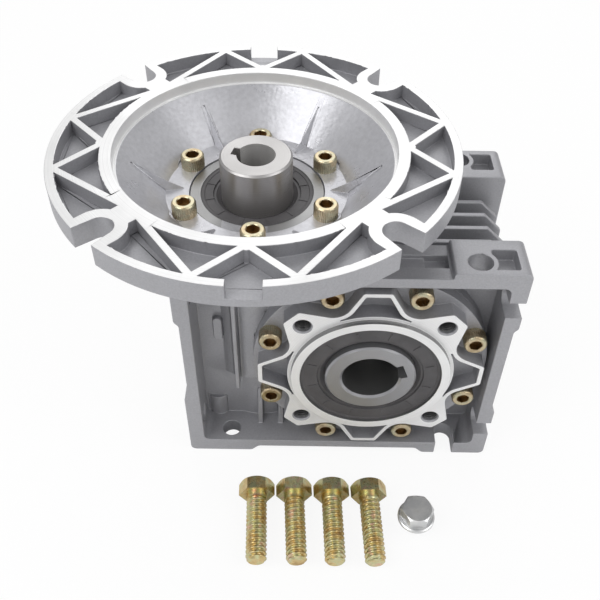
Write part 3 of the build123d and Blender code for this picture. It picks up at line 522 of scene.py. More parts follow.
def turned_metal(name, colour, roughness, centre, mask, density=2600.0, metallic=0.95, depth=0.00002):
    """Machined metal with rings of tool marks round a centre."""
    made, tree, shader = material(name, metallic, roughness)
    turned = use(tree, "turned", Centre=centre, Axis_mask=mask, Ring_density=density)
    wear = use(tree, "wear", Amount=0.35, Size=160.0)
    dark = tinted(colour, 0.84)
    streaked = ramp(tree, turned["Streak"], ((0.12, dark), (0.4, colour)))
    worn = blend_colours(tree, wear["Mask"], streaked, (*dark, 1))
    tree.links.new(worn, shader.inputs["Base Color"])
    vary_roughness(tree, shader, turned["Streak"], (0.1, 0.45), (roughness + 0.08, roughness - 0.06))
    bump(tree, shader, turned["Height"], 0.35, depth)
    return made


def plated_metal(name, shades, roughness=0.27):
    """Zinc plated steel whose tint wanders over the surface."""
    made, tree, shader = material(name, 1.0, roughness)
    grain = use(tree, "grain", Grain_size=1500.0, Stain_size=170.0)
    wear = use(tree, "wear", Amount=0.45, Size=300.0)
    tint = ramp(tree, grain["Stain"], shades)
    worn = blend_colours(tree, wear["Mask"], tint, (0.78, 0.74, 0.66, 1))
    tree.links.new(worn, shader.inputs["Base Color"])
    vary_roughness(tree, shader, grain["Speckle"], (0, 1), (roughness - 0.07, roughness + 0.12))
    bump(tree, shader, grain["Speckle"], 0.25, 0.00003)
    return made


def moulded_rubber(name, colour):
    """Matt moulded rubber with a trace of dust."""
    made, tree, shader = material(name, 0.0, 0.5)
    grain = use(tree, "grain", Grain_size=700.0, Stain_size=110.0)
    dust = ramp(tree, grain["Stain"], ((0.4, colour), (0.75, tinted(colour, 1.4))))
    tree.links.new(dust, shader.inputs["Base Color"])
    bump(tree, shader, grain["Speckle"], 0.3, 0.00005)
    return made


FINISHES = {}


def make_finishes():
    """Builds every finish of the object once."""
    settings = bpy.context.scene.reducer_finish
    casting, machined = tuple(settings.casting_colour), tuple(settings.machined_colour)
    worm, output = (WORM_X * MM, 0, 0), (0, 0, 0)
    plan, rise, side, along = (1, 1, 0), (0, 0, 1), (1, 0, 1), (0, 1, 0)
    yellow = ((0.3, (0.46, 0.31, 0.13)), (0.44, (0.68, 0.52, 0.24)), (0.56, (0.6, 0.6, 0.34)),
              (0.68, (0.72, 0.47, 0.33)), (0.8, (0.75, 0.66, 0.42)))
    brown = ((0.3, (0.34, 0.26, 0.16)), (0.46, (0.56, 0.46, 0.3)), (0.6, (0.5, 0.48, 0.34)),
             (0.74, (0.6, 0.44, 0.32)))
    # Dark brown stops of the hex sockets: painted shade of the deep recess, laid over the zinc plating
    socket = ((0.35, (0.16, 0.1, 0.05)), (0.65, (0.36, 0.24, 0.11)))
    FINISHES.update(
        casting=cast_metal("blasted_casting", casting),
        dish=cast_metal("dish_casting", tinted(casting, 1.35), 0.5, 0.3, 0.00008, 520.0),
        rim=turned_metal("turned_rim", machined, 0.34, worm, plan, 2200.0, 0.4),
        boss_face=turned_metal("turned_boss", grey(0.95), 0.45, output, side, 2600.0, 0.45),
        bored=turned_metal("bored_casting", grey(0.34), 0.4, output, along, 4200.0),
        # Near-black grey of the tapped threads: painted shade inside the deep holes, not the metal's own
        # colour
        tapped=turned_metal("tapped_hole_shade", grey(0.12), 0.5, output, along, 4200.0),
        hub=turned_metal("ground_hub", (0.5, 0.485, 0.475), 0.33, worm, rise, 3200.0, 0.85, 0.00001),
        hub_end=turned_metal("faced_hub_end", (0.47, 0.46, 0.455), 0.36, worm, plan, 4200.0, 0.85),
        hub_bore=turned_metal("honed_hub_bore", (0.66, 0.65, 0.64), 0.3, worm, rise, 3800.0, 0.55),
        output_hub=turned_metal("ground_output_hub", (0.4, 0.4, 0.415), 0.34, output, side, 3600.0, 0.75),
        yellow_zinc=plated_metal("yellow_zinc", yellow),
        screw_zinc=plated_metal("screw_zinc", brown),
        # Zinc of the hex sockets, darkened with painted shade
        socket_zinc=plated_metal("socket_zinc", socket, 0.4),
        clear_zinc=plated_metal("clear_zinc", ((0.3, (0.62, 0.63, 0.64)), (0.7, (0.85, 0.85, 0.84))), 0.3),
        rubber=moulded_rubber("seal_rubber", (0.07, 0.067, 0.07)),
        race=turned_metal("bearing_race", (0.68, 0.68, 0.7), 0.15, output, (1, 1, 1), 1800.0, 1.0, 0.00001),
        bronze=turned_metal("wheel_bronze", (0.62, 0.4, 0.17), 0.3, output, side, 1500.0, 1.0),
        spring=plated_metal("oiled_spring_steel", ((0.3, (0.06, 0.06, 0.065)), (0.7, (0.14, 0.14, 0.15)))),
    )


# Shared forms of both output sides, drawn with z outwards


def soften(before, corner, after, radius):
    """Points of a rounded corner, from the line before it to the line after it."""
    before, corner, after = Vector(before), Vector(corner), Vector(after)
    to_before, to_after = (before - corner).normalized(), (after - corner).normalized()
    length = radius / tan(to_before.angle(to_after) / 2)
    start, end = corner + to_before * length, corner + to_after * length
    points = []
    for k in range(7):
        share = k / 6
        points.append(start * (1 - share) ** 2 + corner * 2 * share * (1 - share) + end * share ** 2)
    return [tuple(point) for point in points]


def star(inset, low, high, place, corner_radius=1.6):
    """Eight lobes with a scallop round each cover screw."""
    screw_circle, _, screw_angle = COVER_SCREWS
    reach = LOBE_REACH - inset
    radius = SCALLOP_RADIUS + inset
    tips = []
    for lobe in range(8):
        half = (5.8, 4.6)[lobe % 2] - inset / 2
        spread = degrees(atan2(half, reach))
        tips.append([polar(hypot(half, reach), lobe * 45 + side * spread) for side in (-1, 1)])
    outline = []
    for lobe in range(8):
        first, last = tips[lobe]
        centres = [polar(screw_circle, lobe * 45 + side * screw_angle) for side in (-1, 1)]
        arrive = tangent_point(centres[0], radius, first, 1)
        leave = tangent_point(centres[1], radius, last, -1)
        outline += soften(arrive, first, last, corner_radius) + soften(first, last, leave, corner_radius)
        inward = lobe * 45 + 180 + screw_angle
        turn = degrees(atan2(leave[1] - centres[1][1], leave[0] - centres[1][0])) - inward
        turn = (turn + 180) % 360 - 180
        for k in range(25):
            step = polar(radius, inward + turn * (1 - k / 12))
            outline.append((centres[1][0] + step[0], centres[1][1] + step[1]))
    return prism(outline, low, high, place)


def lobed_boss(place):
    """Bolting boss of an output side, with a hollow in every second lobe."""
    hollow = star(2.0, 33, 45, place, 1.0)
    wide, half = LOBE_REACH, 14.5
    cross = union(block((-wide, -half, 32), (wide, half, 46), place),
                  block((-half, -wide, 32), (half, wide, 46), place))
    combine(hollow, [cross], "INTERSECT")
    cut(hollow, rod(36.6, 31, 47, place))
    made = star(0, 35.5, 43.5, place)
    cut(made, hollow)
    return union(made, rod(35, 43, 46, place))


def cut_output_bores(base, place):
    """Seal bore, bearing bore and four tapped holes."""
    bores = [(0, 17), (34.02, 17), (34.02, 36.3), (31.02, 36.8), (31.02, 47), (0, 47)]
    hole = [(0, 27.5), (3.5, 27.5), (3.5, 42.8), (4.3, 43.6), (4.3, 44), (0, 44)]
    cut(base, lathe(bores, place))
    cut(base, copies(lambda: lathe(hole, steps=SMALL), round_places(place, *TAPPED_HOLES)))


def tapped_threads(name, place):
    """Rings that stand for the thread inside the four tapped holes of a boss, dark with painted shade."""
    profile = [(3.62, 28)]
    for i in range(11):
        profile += [(3.05, 28.6 + i * 1.25), (3.5, 29.2 + i * 1.25)]
    profile += [(3.62, 42.4)]
    piece = copies(lambda: lathe(profile, steps=32), round_places(place, *TAPPED_HOLES))
    # The tapped finish is near-black: painted shade of the deep threads
    finish_piece(piece, name, ["tapped"], (), smooth=20)


def boss_chooser(side):
    """Picks the finish of an output side's faces: machined ends and lobes, bored walls, else casting."""

    def choose(point, normal):
        out = point.y * side
        reach = hypot(point.x, point.z)
        if normal.y * side > 0.9 and out > 43.3:
            return 1
        if reach < 36 and out > 20 and abs(normal.y) < 0.5 and (out > 43.6 or reach < 34.5):
            return 2
        return 0

    return choose


# Pieces


def casting_edge():
    """Width of the rounding on the castings' edges, in millimetres."""
    return bpy.context.scene.reducer_finish.casting_edge


def build_housing():
    """Finned casting with two square frames, the worm tube and the rear boss."""
    outline = [(-84, -60), (-54, -60), (-50.6, -56.6), (26.1, -56.6), (29.5, -60), (60, -60), (60, -27),
               (58.3, -25.3), (58.3, 27.3), (60, 29), (60, 60), (29, 60), (29, 57), (-84, 57), (-84, 30),
               (-82, 28), (-82, -19), (-84, -21)]
    opening = rounded(129.6, 104, 3.0, (-12, 0))
    body, depth = None, Vector((0, 1, 0))
    for low, high in ((21.5, 42.5), (-42.5, -21.5)):
        side = prism(outline, low, high, FRONT)
        round_edges(side, depth, 1.0, 1.0, lambda middle: abs(middle.z) < 59 or abs(middle.x) < 58)
        round_edges(side, depth, 2.6, 2.6, lambda middle: abs(middle.z) > 59 and abs(middle.x) > 59)
        shelf = (24.5, 50) if low > 0 else (-50, -24.5)
        cut(side, prism(opening, *shelf, FRONT))
        body = side if body is None else union(body, side)
    fin = [(-74, -52.5), (49, -52.5), (57, -44.5), (57, 44.5), (49, 52.5), (-74, 52.5)]
    for middle in (-13.5, -4.5, 4.5, 13.5):
        union(body, prism(fin, middle - 1.2, middle + 1.2, FRONT))
    union(body, rod(52, -36, 30, FRONT), rod(29.5, -60, -52, WORM), rod(26, -59, 1, WORM),
          rod(29.5, -21, 60, WORM))
    for y in (-31.75, 31.75):
        cut(body, block((-30, y - 3.75, 55), (18.7, y + 3.75, 62)),
            block((18.7, y - 3.75, 53.5), (28, y + 3.75, 62)))
    pad = rod(38, 48, 60, WORM)
    cut(pad, block((-100, -60, 40), (-84, 60, 70)))
    union(body, pad, rod(28.3, 59, 67, WORM))
    union(body, lobed_boss(REAR), block((-61, -33, -24), (-59, -24, 48)),
          prism(rounded(4, 14, 1.9, (-68, 10)), 21.5, 27, FRONT),
          rod(5.2, -52.5, -39, centre=(-70.7, -21.5)))
    gusset = [(24, -52.5), (32, -52.5), (26, -32), (24, -32)]
    for x in (-50.1, -40.1):
        rise = Matrix(((0, 0, 1, x), (-1, 0, 0, 0), (0, 1, 0, 0), (0, 0, 0, 1)))
        union(body, prism(gusset, -1.2, 1.2, rise))
    cut(body, rod(43, -18, 31, FRONT))
    cut_output_bores(body, REAR)
    for low, high, radius in ((-61, -34, 23.52), (-35, 49, 20), (48.3, 68, 23.52), (57.3, 59.1, 24.75),
                              (-49.8, -48, 24.75)):
        cut(body, rod(radius, low, high, WORM))
    cut(body, copies(lambda: rod(SCREW_HOLE, 17, 31), round_places(FRONT, *COVER_SCREWS)),
        copies(lambda: rod(SCREW_HOLE, 49, 61), round_places(WORM, *FLANGE_SCREWS)))
    for y in (-35, 35):
        cut(body, rod(5, 50, 61, centre=(40, y)), rod(4.3, -61, -50, centre=(-64, y)))
        pocket = prism(rounded(10, 11.8, 1.0, (50.3, y * 33.4 / 35)), 54.5, 61)
        cut(pocket, rod(7.2, 50, 62, centre=(40, y)))
        cut(body, pocket)
        far = 44 if y > 0 else -44
        notch = union(rod(4.25, -61, -50, centre=(40, y)),
                      block((35.75, min(y, far), -61), (44.25, max(y, far), -50)))
        cut(body, notch)
        for z in (-40, 40):
            side = Matrix(((0, 0, 1, 0), (1, 0, 0, 0), (0, 1, 0, 0), (0, 0, 0, 1)))
            cut(body, rod(4.3, -85, -76, side, centre=(y, z)))
            notch = union(rod(4.25, 52, 61, side, centre=(y, z)),
                          block((min(y, far), z - 4.25, 52), (max(y, far), z + 4.25, 61), side))
            cut(body, notch)
    divide(body, (-63.3, -44.7, 0.7, 20.3, 33.3), (), (-29.3, -17.3, 0.7, 17.3, 31.3))
    rear = boss_chooser(1)

    def choose(point, normal):
        if point.y > 20:
            return rear(point, normal)
        return 2 if point.z > 48 and hypot(point.x - WORM_X, point.y) < 24.8 else 0

    finish_piece(body, "housing_casting", BOSS_FINISHES, ["housing"], edge=casting_edge() * 1.5,
                 chooser=choose, smooth=37)
    tapped_threads("rear_tapped_threads", REAR)


def build_cover():
    """Round cover with the front boss."""
    body = rod(52, 30, 36, FRONT)
    union(body, rod(42.95, 21.8, 30.5, FRONT), lobed_boss(FRONT))
    groove = cut(rod(50, 30, 32.4, FRONT), rod(41.2, 29, 33, FRONT))
    groove.matrix_world = Matrix.Translation((0, 2.4, 0))
    cut(body, groove)
    cut_output_bores(body, FRONT)
    cut(body, copies(lambda: rod(SCREW_HOLE, 29, 37), round_places(FRONT, *COVER_SCREWS)))
    finish_piece(body, "cover_casting", BOSS_FINISHES, ["output_cover"], edge=casting_edge(),
                 chooser=boss_chooser(-1))
    tapped_threads("front_tapped_threads", FRONT)


def build_flange():
    """Dished flange with a machined rim, zigzag ribs and four open slots."""
    profile = [(28.35, 60), (44, 60), (62.05, 80.6), (82.55, 80.6), (82.55, 90), (57.15, 90), (57.15, 85.1),
               (56, 85.1), (38, 67.6), (28.35, 67.6)]
    body = lathe(profile, WORM, 2 * ROUND)

    def gusset():
        mesh = bmesh.new()
        ridge = [(31, 0, 68.4), (38, 0, 72), (51, 0, 80.3)]
        wide = [(31, 2.4, 63), (38, 2.2, 66.2), (50, 1.2, 77)]
        rows = [[mesh.verts.new((x, side * y, z)) for x, y, z in wide] for side in (-1, 1)]
        top = [mesh.verts.new(p) for p in ridge]
        low = [mesh.verts.new((31, 0, 61.5)), mesh.verts.new((50, 0, 74))]
        for row in rows:
            for k in range(2):
                mesh.faces.new((row[k], row[k + 1], top[k + 1], top[k]))
            mesh.faces.new((row[0], row[1], row[2], low[1], low[0]))
            mesh.faces.new((top[0], row[0], low[0]))
            mesh.faces.new((top[2], row[2], low[1]))
        return solid(mesh)

    for place in round_places(WORM, 0, 6):
        wedge = gusset()
        wedge.data.transform(place)
        union(body, wedge)
    pocket = cut(rod(78.95, 84, 91, WORM, ROUND * 2), rod(62.05, 83, 92, WORM, ROUND * 2))
    for quarter in range(4):
        middle = quarter * 90
        inner = polar(61.05, middle)
        tools = [rod(2.2, 83, 92, WORM, centre=polar(62.05, middle))]
        for side in (-1, 1):
            outer = polar(79.5, middle + side * 13)
            far = polar(61.05, middle + side * 41.5)
            tools += [prism(bar(inner, outer, 3.0), 83, 92, WORM), prism(bar(outer, far, 3.0), 83, 92, WORM)]
        slot = polar(FLANGE_SLOTS[0], middle + 45)
        tools += [rod(10.3, 83, 92, WORM, centre=slot),
                  prism(bar(slot, polar(84, middle + 45), 20.6), 83, 92, WORM),
                  prism(bar(polar(61, middle + 45), slot, 11), 83, 92, WORM)]
        cut(pocket, *tools)
    round_edges(pocket, Vector((0, 0, 1)), 2.8, 1.4)
    cut(body, pocket)
    for place in round_places(WORM, *FLANGE_SLOTS):
        flare = [(0, -5.3), (7.95, -6.3), (9, -6.3), (9, 6.3), (7.95, 6.3), (0, 5.3)]
        cut(body, union(rod(5.3, 80, 91, place), prism(flare, 80, 91, place)))
    for place in round_places(WORM, 80.75, 2, 90):
        cut(body, block((-3.6, -6.25, 84), (3.6, 6.25, 91), place))
    for place in round_places(WORM, *FLANGE_SCREWS):
        cut(body, rod(6.4, 67.6, 92, place), rod(SCREW_HOLE, 59, 68, place))
    cut(body, rod(29.9, 59, 61.6, WORM))

    def choose(point, normal):
        reach = hypot(point.x - WORM_X, point.y)
        if normal.z > 0.9 and (point.z > 89.7 or 55.9 < reach < 57.2):
            return 1
        if 57 < reach < 57.3 and point.z > 84.5:
            return 1
        if reach < 56.2 and normal.z > 0.15:
            return 2
        return 0

    finish_piece(body, "flange_casting", ["casting", "rim", "dish"], ["motor_flange"],
                 edge=casting_edge(), chooser=choose, smooth=28)


def seal(name, node_name, inner, outer, width, face, place):
    """Lip seal with a garter lip, moulded rings and short raised ticks on its face."""
    profile = [(outer, 0), (outer, -width), (inner + 5.5, -width), (inner + 2.2, -width + 2.5),
               (inner + 0.1, -width + 3.2), (inner + 0.1, -2.4), (inner + 1.0, -2.0), (inner + 2.2, -0.9),
               (inner + 3.2, -0.9), (inner + 3.5, -0.25), (outer - 1.6, -0.25), (outer - 1.3, 0)]
    body = lathe([(radius, face + height) for radius, height in profile], place)
    middle = (inner + outer) / 2 + 0.9
    ticks = copies(lambda: block((middle - 1.9, -0.4, face - 0.5), (middle + 1.9, 0.4, face - 0.02)),
                   [place @ Matrix.Rotation(radians(angle), 4, "Z") for angle in range(15, 375, 30)])
    union(body, ticks)
    finish_piece(body, name, ["rubber"], [node_name])


def build_seals():
    """The three lip seals and the rubber cap that closes the worm bore."""
    seal("front_seal", "front_output_seal", 20, 31, 8, 44.8, FRONT)
    seal("rear_seal", "rear_output_seal", 20, 31, 8, 44.8, REAR)
    seal("input_lip_seal", "input_seal", 15, 23.5, 7, 66.6, WORM)
    profile = [(0, -59), (22.6, -59), (23.48, -58.1), (23.48, -52), (21.98, -52), (21.98, -57.5), (0, -57.5)]
    finish_piece(lathe(profile, WORM), "bore_cap", ["rubber"], ["worm_end_cap"])


def build_output_shaft():
    """Hollow output shaft with its keyway."""
    half = [(12.5, 45), (13.5, 46), (19.2, 46), (20, 45.2), (20, 21.8), (23.5, 21.8), (23.5, 11), (28, 11)]
    body = lathe(half + [(radius, -height) for radius, height in half[::-1]], FRONT)
    key = Matrix.Rotation(radians(20), 4, "Z")
    cut(body, block((0, -4, -47), (15.8, 4, 47), FRONT @ key))
    finish_piece(body, "hollow_output_shaft", ["output_hub", "bored"], ["output_shaft"],
                 "output_body", chooser=lambda point, normal: int(hypot(point.x, point.z) < 12.7))


def build_worm():
    """Hollow worm shaft with its keyed hub and single-start thread."""
    pitch = 2.5 * pi
    slope = tan(radians(20))

    def reach(phase, height):
        offset = min(phase, 1 - phase) * pitch
        flank = 12.5 + (1.81 - offset) / slope
        limit = 9.5 + max(0.0, 22.56 - abs(height))
        return max(9.5, min(15.0, flank, limit))

    profile = [(0, -49.6), (9.2, -49.6), (10, -48.8), (10, -34), (11.5, -34), (11.5, -24.56), (9.45, -22.5),
               (9.45, 22.5), (14, 27.06), (14, 44), (17.5, 44), (17.5, 48.3), (15, 48.3), (15, 84.2),
               (14.2, 85), (0, 85)]
    body = lathe(profile, WORM)
    union(body, threaded_rod(reach, -22.4, 22.4, pitch, WORM, 96, 16))
    key = WORM @ Matrix.Rotation(radians(165), 4, "Z")
    bore = union(rod(7.94, 27, 86, WORM, 96), block((0, -2.38, 27), (10.1, 2.38, 86), key))
    cut(body, bore)

    def choose(point, normal):
        if hypot(point.x - WORM_X, point.y) < 8.2 and abs(normal.z) < 0.5:
            return 2
        return int(normal.z > 0.7)

    finish_piece(body, "keyed_worm_shaft", ["hub", "hub_end", "hub_bore"], ["worm_shaft"],
                 "worm_body", 0.12, choose, 28)


def socket_screw():
    """Socket head cap screw, its head seated at height 0."""
    profile = [(0, -18), (2.4, -18), (3, -17.4), (3, 0), (4.95, 0), (4.95, 5.2), (4.7, 5.7), (4.3, 6),
               (0, 6)]

    def knurl(number, step):
        return (0.09 if step % 4 < 2 else -0.07) if number in (4, 5) else 0

    body = lathe(profile, ripple=knurl)
    hexagon = [polar(2.5 / cos(radians(30)), 30 + 60 * i) for i in range(6)]
    cut(body, prism(hexagon, 2.8, 7), lathe([(0, 5.4), (2.75, 5.75), (3.1, 6.1), (0, 6.1)], steps=SMALL))
    # Faces inside the hex socket take the second finish, dark with painted shade
    for face in body.data.polygons:
        face.material_index = int(hypot(face.center.x, face.center.y) < 2.7 and face.center.z > 2.5)
    return body


def build_screws():
    """Socket head screws of the cover and of the flange."""
    for name, node_name, places in (
        ("cover_screw_set", "cover_screws", round_places(FRONT, *COVER_SCREWS, 36)),
        ("flange_screw_set", "flange_screws", round_places(WORM, *FLANGE_SCREWS, 67.6)),
    ):
        turned = [place @ Matrix.Rotation(radians(37 * i), 4, "Z") for i, place in enumerate(places)]
        # The second finish darkens the sockets with painted shade
        finishes = ["screw_zinc", "socket_zinc"]
        finish_piece(copies(socket_screw, turned), name, finishes, [node_name])


def hexagon_head(flats, low, high):
    """Hexagon with its upper corners rounded off by a cone."""
    corner = flats / 2 / cos(radians(30))
    head = prism([polar(corner, 60 * i) for i in range(6)], low, high)
    cone = [(0, high), (flats / 2 * 0.98, high), (corner + 0.1, high - 1.0), (corner + 0.1, low), (0, low)]
    return combine(head, [lathe(cone, steps=96)], "INTERSECT")


def hex_bolt():
    """Hexagon bolt along z: head above 0, a short plain neck and a thread below."""
    pitch, major, minor, neck, tip = 2.1, 4.75, 3.8, -2.4, -30.6

    def reach(phase, height):
        if height > neck:
            return major
        crest = minor + (major - minor) * min(1.0, max(0.0, 1.3 - abs(phase - 0.5) * 3.4))
        return min(crest, BOLT_RADIUS - max(0.0, tip - height))

    return union(hexagon_head(BOLT_FLATS, 0, BOLT_HEAD),
                 threaded_rod(reach, -BOLT_LENGTH, 0.5, pitch, per_turn=12))


def build_loose_bolts():
    """The four hexagon bolts lying in front of the reducer, each on its head's rim and its tip."""
    drop = atan2(BOLT_FLATS / 2 - BOLT_RADIUS, BOLT_LENGTH + BOLT_HEAD)
    level = FLOOR + BOLT_HEAD * sin(drop)
    along = Matrix.Translation((0, 0, BOLT_FLATS / 2)) @ Matrix.Rotation(-pi / 2, 4, "X")
    first_x, gap, front_y = -50.0, 17.23, -72.2
    places = []
    for number, (turn, roll) in enumerate(((2.1, 0), (2.9, 60), (2.3, 120), (2.9, 180))):
        lie = Matrix.Translation((first_x + number * gap, front_y, level))
        lie = lie @ Matrix.Rotation(radians(turn), 4, "Z") @ Matrix.Rotation(drop, 4, "X")
        places.append(lie @ along @ Matrix.Rotation(radians(roll), 4, "Z"))
    finish_piece(copies(hex_bolt, places), "hex_bolt_set", ["yellow_zinc"], ["motor_bolts"],
                 smooth=30)


def build_plug():
    """Flanged hexagon plug standing on its thread."""

    def reach(phase, height):
        return 4.35 + 0.6 * min(1.0, max(0.0, 1.25 - abs(phase - 0.5) * 3.0)) - max(0.0, 0.9 - height)

    body = threaded_rod(reach, 0, 7.2, 1.25)
    collar = lathe([(0, 7), (8.1, 7), (8.3, 7.2), (8.3, 8.4), (7.7, 8.8), (0, 9.0)], steps=96)
    union(body, collar, hexagon_head(13.0, 8.5, 14.8))
    body.data.transform(Matrix.Translation((22.5, -82.5, FLOOR)))
    finish_piece(body, "plug_piece", ["clear_zinc"], ["oil_plug"], edge=0.12)


def dress_inner_pieces():
    """Finishes of the CAD nodes that stay: bearings, rings, circlips and the worm wheel."""
    for name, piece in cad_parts.items():
        if piece.hide_render:
            continue
        finish = next(finish for word, finish in INNER_FINISHES if word in name)
        piece.data.materials.clear()
        piece.data.materials.append(FINISHES[finish])
        for face in piece.data.polygons:
            face.use_smooth = True
        mark_sharp(piece.data, SHADE_ANGLE)


def build_stage():
    """Pale floor, even studio light and the photograph's camera."""
    scene = bpy.context.scene
    settings = scene.reducer_stage
    scene.view_settings.view_transform = "Standard"
    mesh = bmesh.new()
    bmesh.ops.create_grid(mesh, x_segments=1, y_segments=1, size=6.0)
    data = bpy.data.meshes.new("floor")
    mesh.to_mesh(data)
    mesh.free()
    floor = bpy.data.objects.new("floor", data)
    floor.location = (-0.012, 0, FLOOR * MM)
    scene.collection.objects.link(floor)
    paper = bpy.data.materials.new("pale_paper")
    paper.use_nodes = True
    tree = paper.node_tree
    shader = tree.nodes["Principled BSDF"]
    shader.inputs["Base Color"].default_value = (0.93, 0.93, 0.93, 1)
    shader.inputs["Roughness"].default_value = 0.9
    white = node(tree, "ShaderNodeEmission", {"Color": WHITE, "Strength": 1.0})
    path = node(tree, "ShaderNodeLightPath")
    share = maths(tree, "MULTIPLY", path.outputs["Is Camera Ray"], 0.9)
    mixed = node(tree, "ShaderNodeMixShader", {0: share, 1: shader.outputs[0], 2: white.outputs[0]})
    tree.links.new(mixed.outputs[0], tree.nodes["Material Output"].inputs["Surface"])
    data.materials.append(paper)

    world = bpy.data.worlds.new("studio")
    world.use_nodes = True
    scene.world = world
    tree = world.node_tree
    tree.nodes.clear()
    path = node(tree, "ShaderNodeLightPath")
    seen = maths(tree, "MAXIMUM", path.outputs["Is Camera Ray"], path.outputs["Is Transmission Ray"])
    soft = node(tree, "ShaderNodeBackground", {"Color": WHITE, "Strength": settings.sky_strength})
    pale = node(tree, "ShaderNodeBackground", {"Color": WHITE, "Strength": 1.0})
    both = node(tree, "ShaderNodeMixShader", {0: seen, 1: soft.outputs[0], 2: pale.outputs[0]})
    end = node(tree, "ShaderNodeOutputWorld")
    tree.links.new(both.outputs[0], end.inputs["Surface"])

    lamps = (
        ("key_softbox", (-0.55, -0.35, 0.75), 0.6, settings.key_power),
        ("fill_softbox", (0.65, -0.3, 0.6), 0.6, settings.fill_power),
        ("back_softbox", (0.0, 0.75, 0.6), 0.7, settings.back_power),
        ("front_softbox", (0.1, -0.85, 0.25), 0.6, settings.front_power),
    )
    for name, spot, size, power in lamps:
        light = bpy.data.lights.new(name, "AREA")
        light.energy = power
        light.size = size
        lamp = bpy.data.objects.new(name, light)
        lamp.location = spot
        lamp.rotation_mode = "QUATERNION"
        lamp.rotation_quaternion = (Vector((-0.02, 0, 0)) - Vector(spot)).to_track_quat("-Z", "Y")
        scene.collection.objects.link(lamp)

    azimuth, elevation, roll = map(radians, (settings.azimuth, settings.elevation, settings.roll))
    back = Vector((sin(azimuth) * cos(elevation), -cos(azimuth) * cos(elevation), sin(elevation)))
    level = Vector((cos(azimuth), sin(azimuth), 0))
    upright = back.cross(level)
    right = level * cos(roll) + upright * sin(roll)
    up = upright * cos(roll) - level * sin(roll)
    data = bpy.data.cameras.new("photo_camera")
    data.sensor_width = 36
    data.lens = settings.lens
    camera = bpy.data.objects.new("photo_camera", data)
    turn = Matrix((right, up, back)).transposed().to_4x4()
    camera.matrix_world = Matrix.Translation(Vector(settings.camera_place)) @ turn
    scene.collection.objects.link(camera)
    scene.camera = camera


# Settings and operators


class ReducerFinishSettings(bpy.types.PropertyGroup):
    """Colours and edge size of the reducer's pieces."""

    casting_colour: FloatVectorProperty(
        name="Casting colour", description="Colour of the blasted aluminium castings",
        subtype="COLOR", size=3, default=(0.385, 0.385, 0.405), min=0, max=1)
    machined_colour: FloatVectorProperty(
        name="Machined colour", description="Colour of the turned faces of the castings",
        subtype="COLOR", size=3, default=(0.86, 0.86, 0.86), min=0, max=1)
    casting_edge: FloatProperty(
        name="Casting edge", description="Width in millimetres of the rounding on the castings' edges",
        default=0.3, min=0.0, max=1.0)


class ReducerStageSettings(bpy.types.PropertyGroup):
    """Lamps and camera of the studio."""

    key_power: FloatProperty(
        name="Key power", description="Power of the left softbox", default=3.4, min=0, unit="POWER")
    fill_power: FloatProperty(
        name="Fill power", description="Power of the right softbox", default=2.2, min=0, unit="POWER")
    back_power: FloatProperty(
        name="Back power", description="Power of the softbox behind", default=2.2, min=0, unit="POWER")
    front_power: FloatProperty(
        name="Front power", description="Power of the softbox in front", default=0.5, min=0, unit="POWER")
    sky_strength: FloatProperty(
        name="Sky strength", description="Brightness of the white surroundings as light",
        default=0.55, min=0)
    azimuth: FloatProperty(
        name="Azimuth", description="Camera's turn round the object in degrees", default=0.07)
    elevation: FloatProperty(
        name="Elevation", description="Camera's height above the horizon in degrees", default=44.75)
    roll: FloatProperty(name="Roll", description="Camera's roll in degrees", default=0.79)
    lens: FloatProperty(
        name="Lens", description="Camera's focal length in millimetres", default=47.77, min=1, unit="CAMERA")
    camera_place: FloatVectorProperty(
        name="Camera place", description="Where the camera stands",
        subtype="TRANSLATION", unit="LENGTH", size=3, default=(-0.03106, -0.2699, 0.2702))


class ReducerOperator:
    """What every operator of the reducer shares."""

    bl_options = {"REGISTER", "UNDO"}

    def execute(self, context):
        """Runs the operator's steps."""
        for step in self.steps:
            step()
        return {"FINISHED"}


class REDUCER_OT_finishes(ReducerOperator, bpy.types.Operator):
    """Builds the materials of every piece"""

    bl_idname = "reducer.finishes"
    bl_label = "Finishes"
    steps = (make_finishes,)


class REDUCER_OT_housing(ReducerOperator, bpy.types.Operator):
    """Builds the finned housing with its frames, worm tube and rear boss"""

    bl_idname = "reducer.housing"
    bl_label = "Housing"
    steps = (build_housing,)


class REDUCER_OT_cover(ReducerOperator, bpy.types.Operator):
    """Builds the output cover with its lobed boss"""

    bl_idname = "reducer.cover"
    bl_label = "Output cover"
    steps = (build_cover,)


class REDUCER_OT_flange(ReducerOperator, bpy.types.Operator):
    """Builds the dished motor flange"""

    bl_idname = "reducer.flange"
    bl_label = "Motor flange"
    steps = (build_flange,)


class REDUCER_OT_seals(ReducerOperator, bpy.types.Operator):
    """Builds the lip seals and the cap of the worm bore"""

    bl_idname = "reducer.seals"
    bl_label = "Seals"
    steps = (build_seals,)


class REDUCER_OT_shafts(ReducerOperator, bpy.types.Operator):
    """Builds the hollow output shaft and the worm shaft"""

    bl_idname = "reducer.shafts"
    bl_label = "Shafts"
    steps = (build_output_shaft, build_worm)


class REDUCER_OT_screws(ReducerOperator, bpy.types.Operator):
    """Builds the socket head screws of the cover and the flange"""

    bl_idname = "reducer.screws"
    bl_label = "Socket head screws"
    steps = (build_screws,)


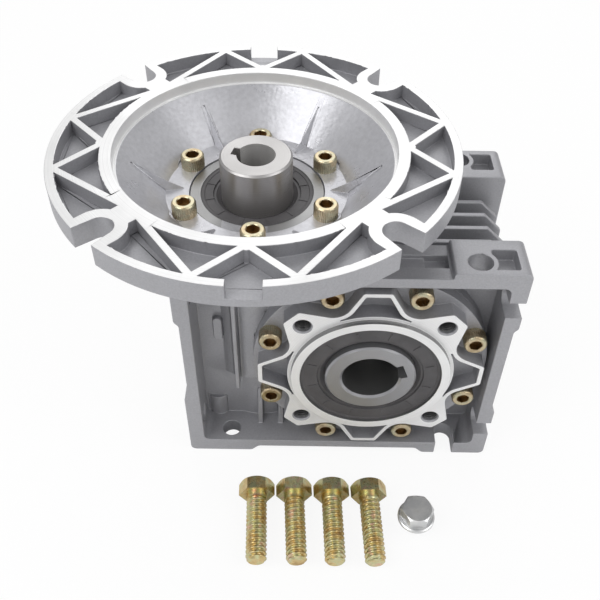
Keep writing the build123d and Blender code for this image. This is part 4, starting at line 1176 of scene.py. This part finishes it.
class REDUCER_OT_loose(ReducerOperator, bpy.types.Operator):
    """Builds the hexagon bolts and the plug that lie in front"""

    bl_idname = "reducer.loose"
    bl_label = "Loose bolts and plug"
    steps = (build_loose_bolts, build_plug)


class REDUCER_OT_inner(ReducerOperator, bpy.types.Operator):
    """Dresses the bearings, rings, circlips and the worm wheel"""

    bl_idname = "reducer.inner"
    bl_label = "Inner pieces"
    steps = (dress_inner_pieces,)


class REDUCER_OT_stage(ReducerOperator, bpy.types.Operator):
    """Builds the floor, the light and the camera"""

    bl_idname = "reducer.stage"
    bl_label = "Stage"
    steps = (build_stage,)


PIECE_OPERATORS = (
    REDUCER_OT_finishes, REDUCER_OT_housing, REDUCER_OT_cover, REDUCER_OT_flange, REDUCER_OT_seals,
    REDUCER_OT_shafts, REDUCER_OT_screws, REDUCER_OT_loose, REDUCER_OT_inner, REDUCER_OT_stage,
)


class REDUCER_PT_panel(bpy.types.Panel):
    """Settings and build steps of the reducer"""

    bl_idname = "REDUCER_PT_panel"
    bl_label = "Worm gear reducer"
    bl_space_type = "VIEW_3D"
    bl_region_type = "UI"
    bl_category = "Reducer"

    def draw(self, context):
        """Lists the settings and the operators."""
        for settings in (context.scene.reducer_finish, context.scene.reducer_stage):
            column = self.layout.column(align=True)
            for name in settings.__annotations__:
                column.prop(settings, name)
        for operator in PIECE_OPERATORS:
            self.layout.operator(operator.bl_idname)


CLASSES = (ReducerFinishSettings, ReducerStageSettings, *PIECE_OPERATORS, REDUCER_PT_panel)


def register():
    """Registers the classes and the scene's settings."""
    for item in CLASSES:
        bpy.utils.register_class(item)
    bpy.types.Scene.reducer_finish = PointerProperty(type=ReducerFinishSettings)
    bpy.types.Scene.reducer_stage = PointerProperty(type=ReducerStageSettings)


def unregister():
    """Removes the scene's settings and the classes."""
    del bpy.types.Scene.reducer_stage
    del bpy.types.Scene.reducer_finish
    for item in reversed(CLASSES):
        bpy.utils.unregister_class(item)


def main():
    """Builds the whole scene."""
    register()
    for operator in PIECE_OPERATORS:
        area, step = operator.bl_idname.split(".")
        getattr(getattr(bpy.ops, area), step)()


if __name__ == "__main__":
    main()
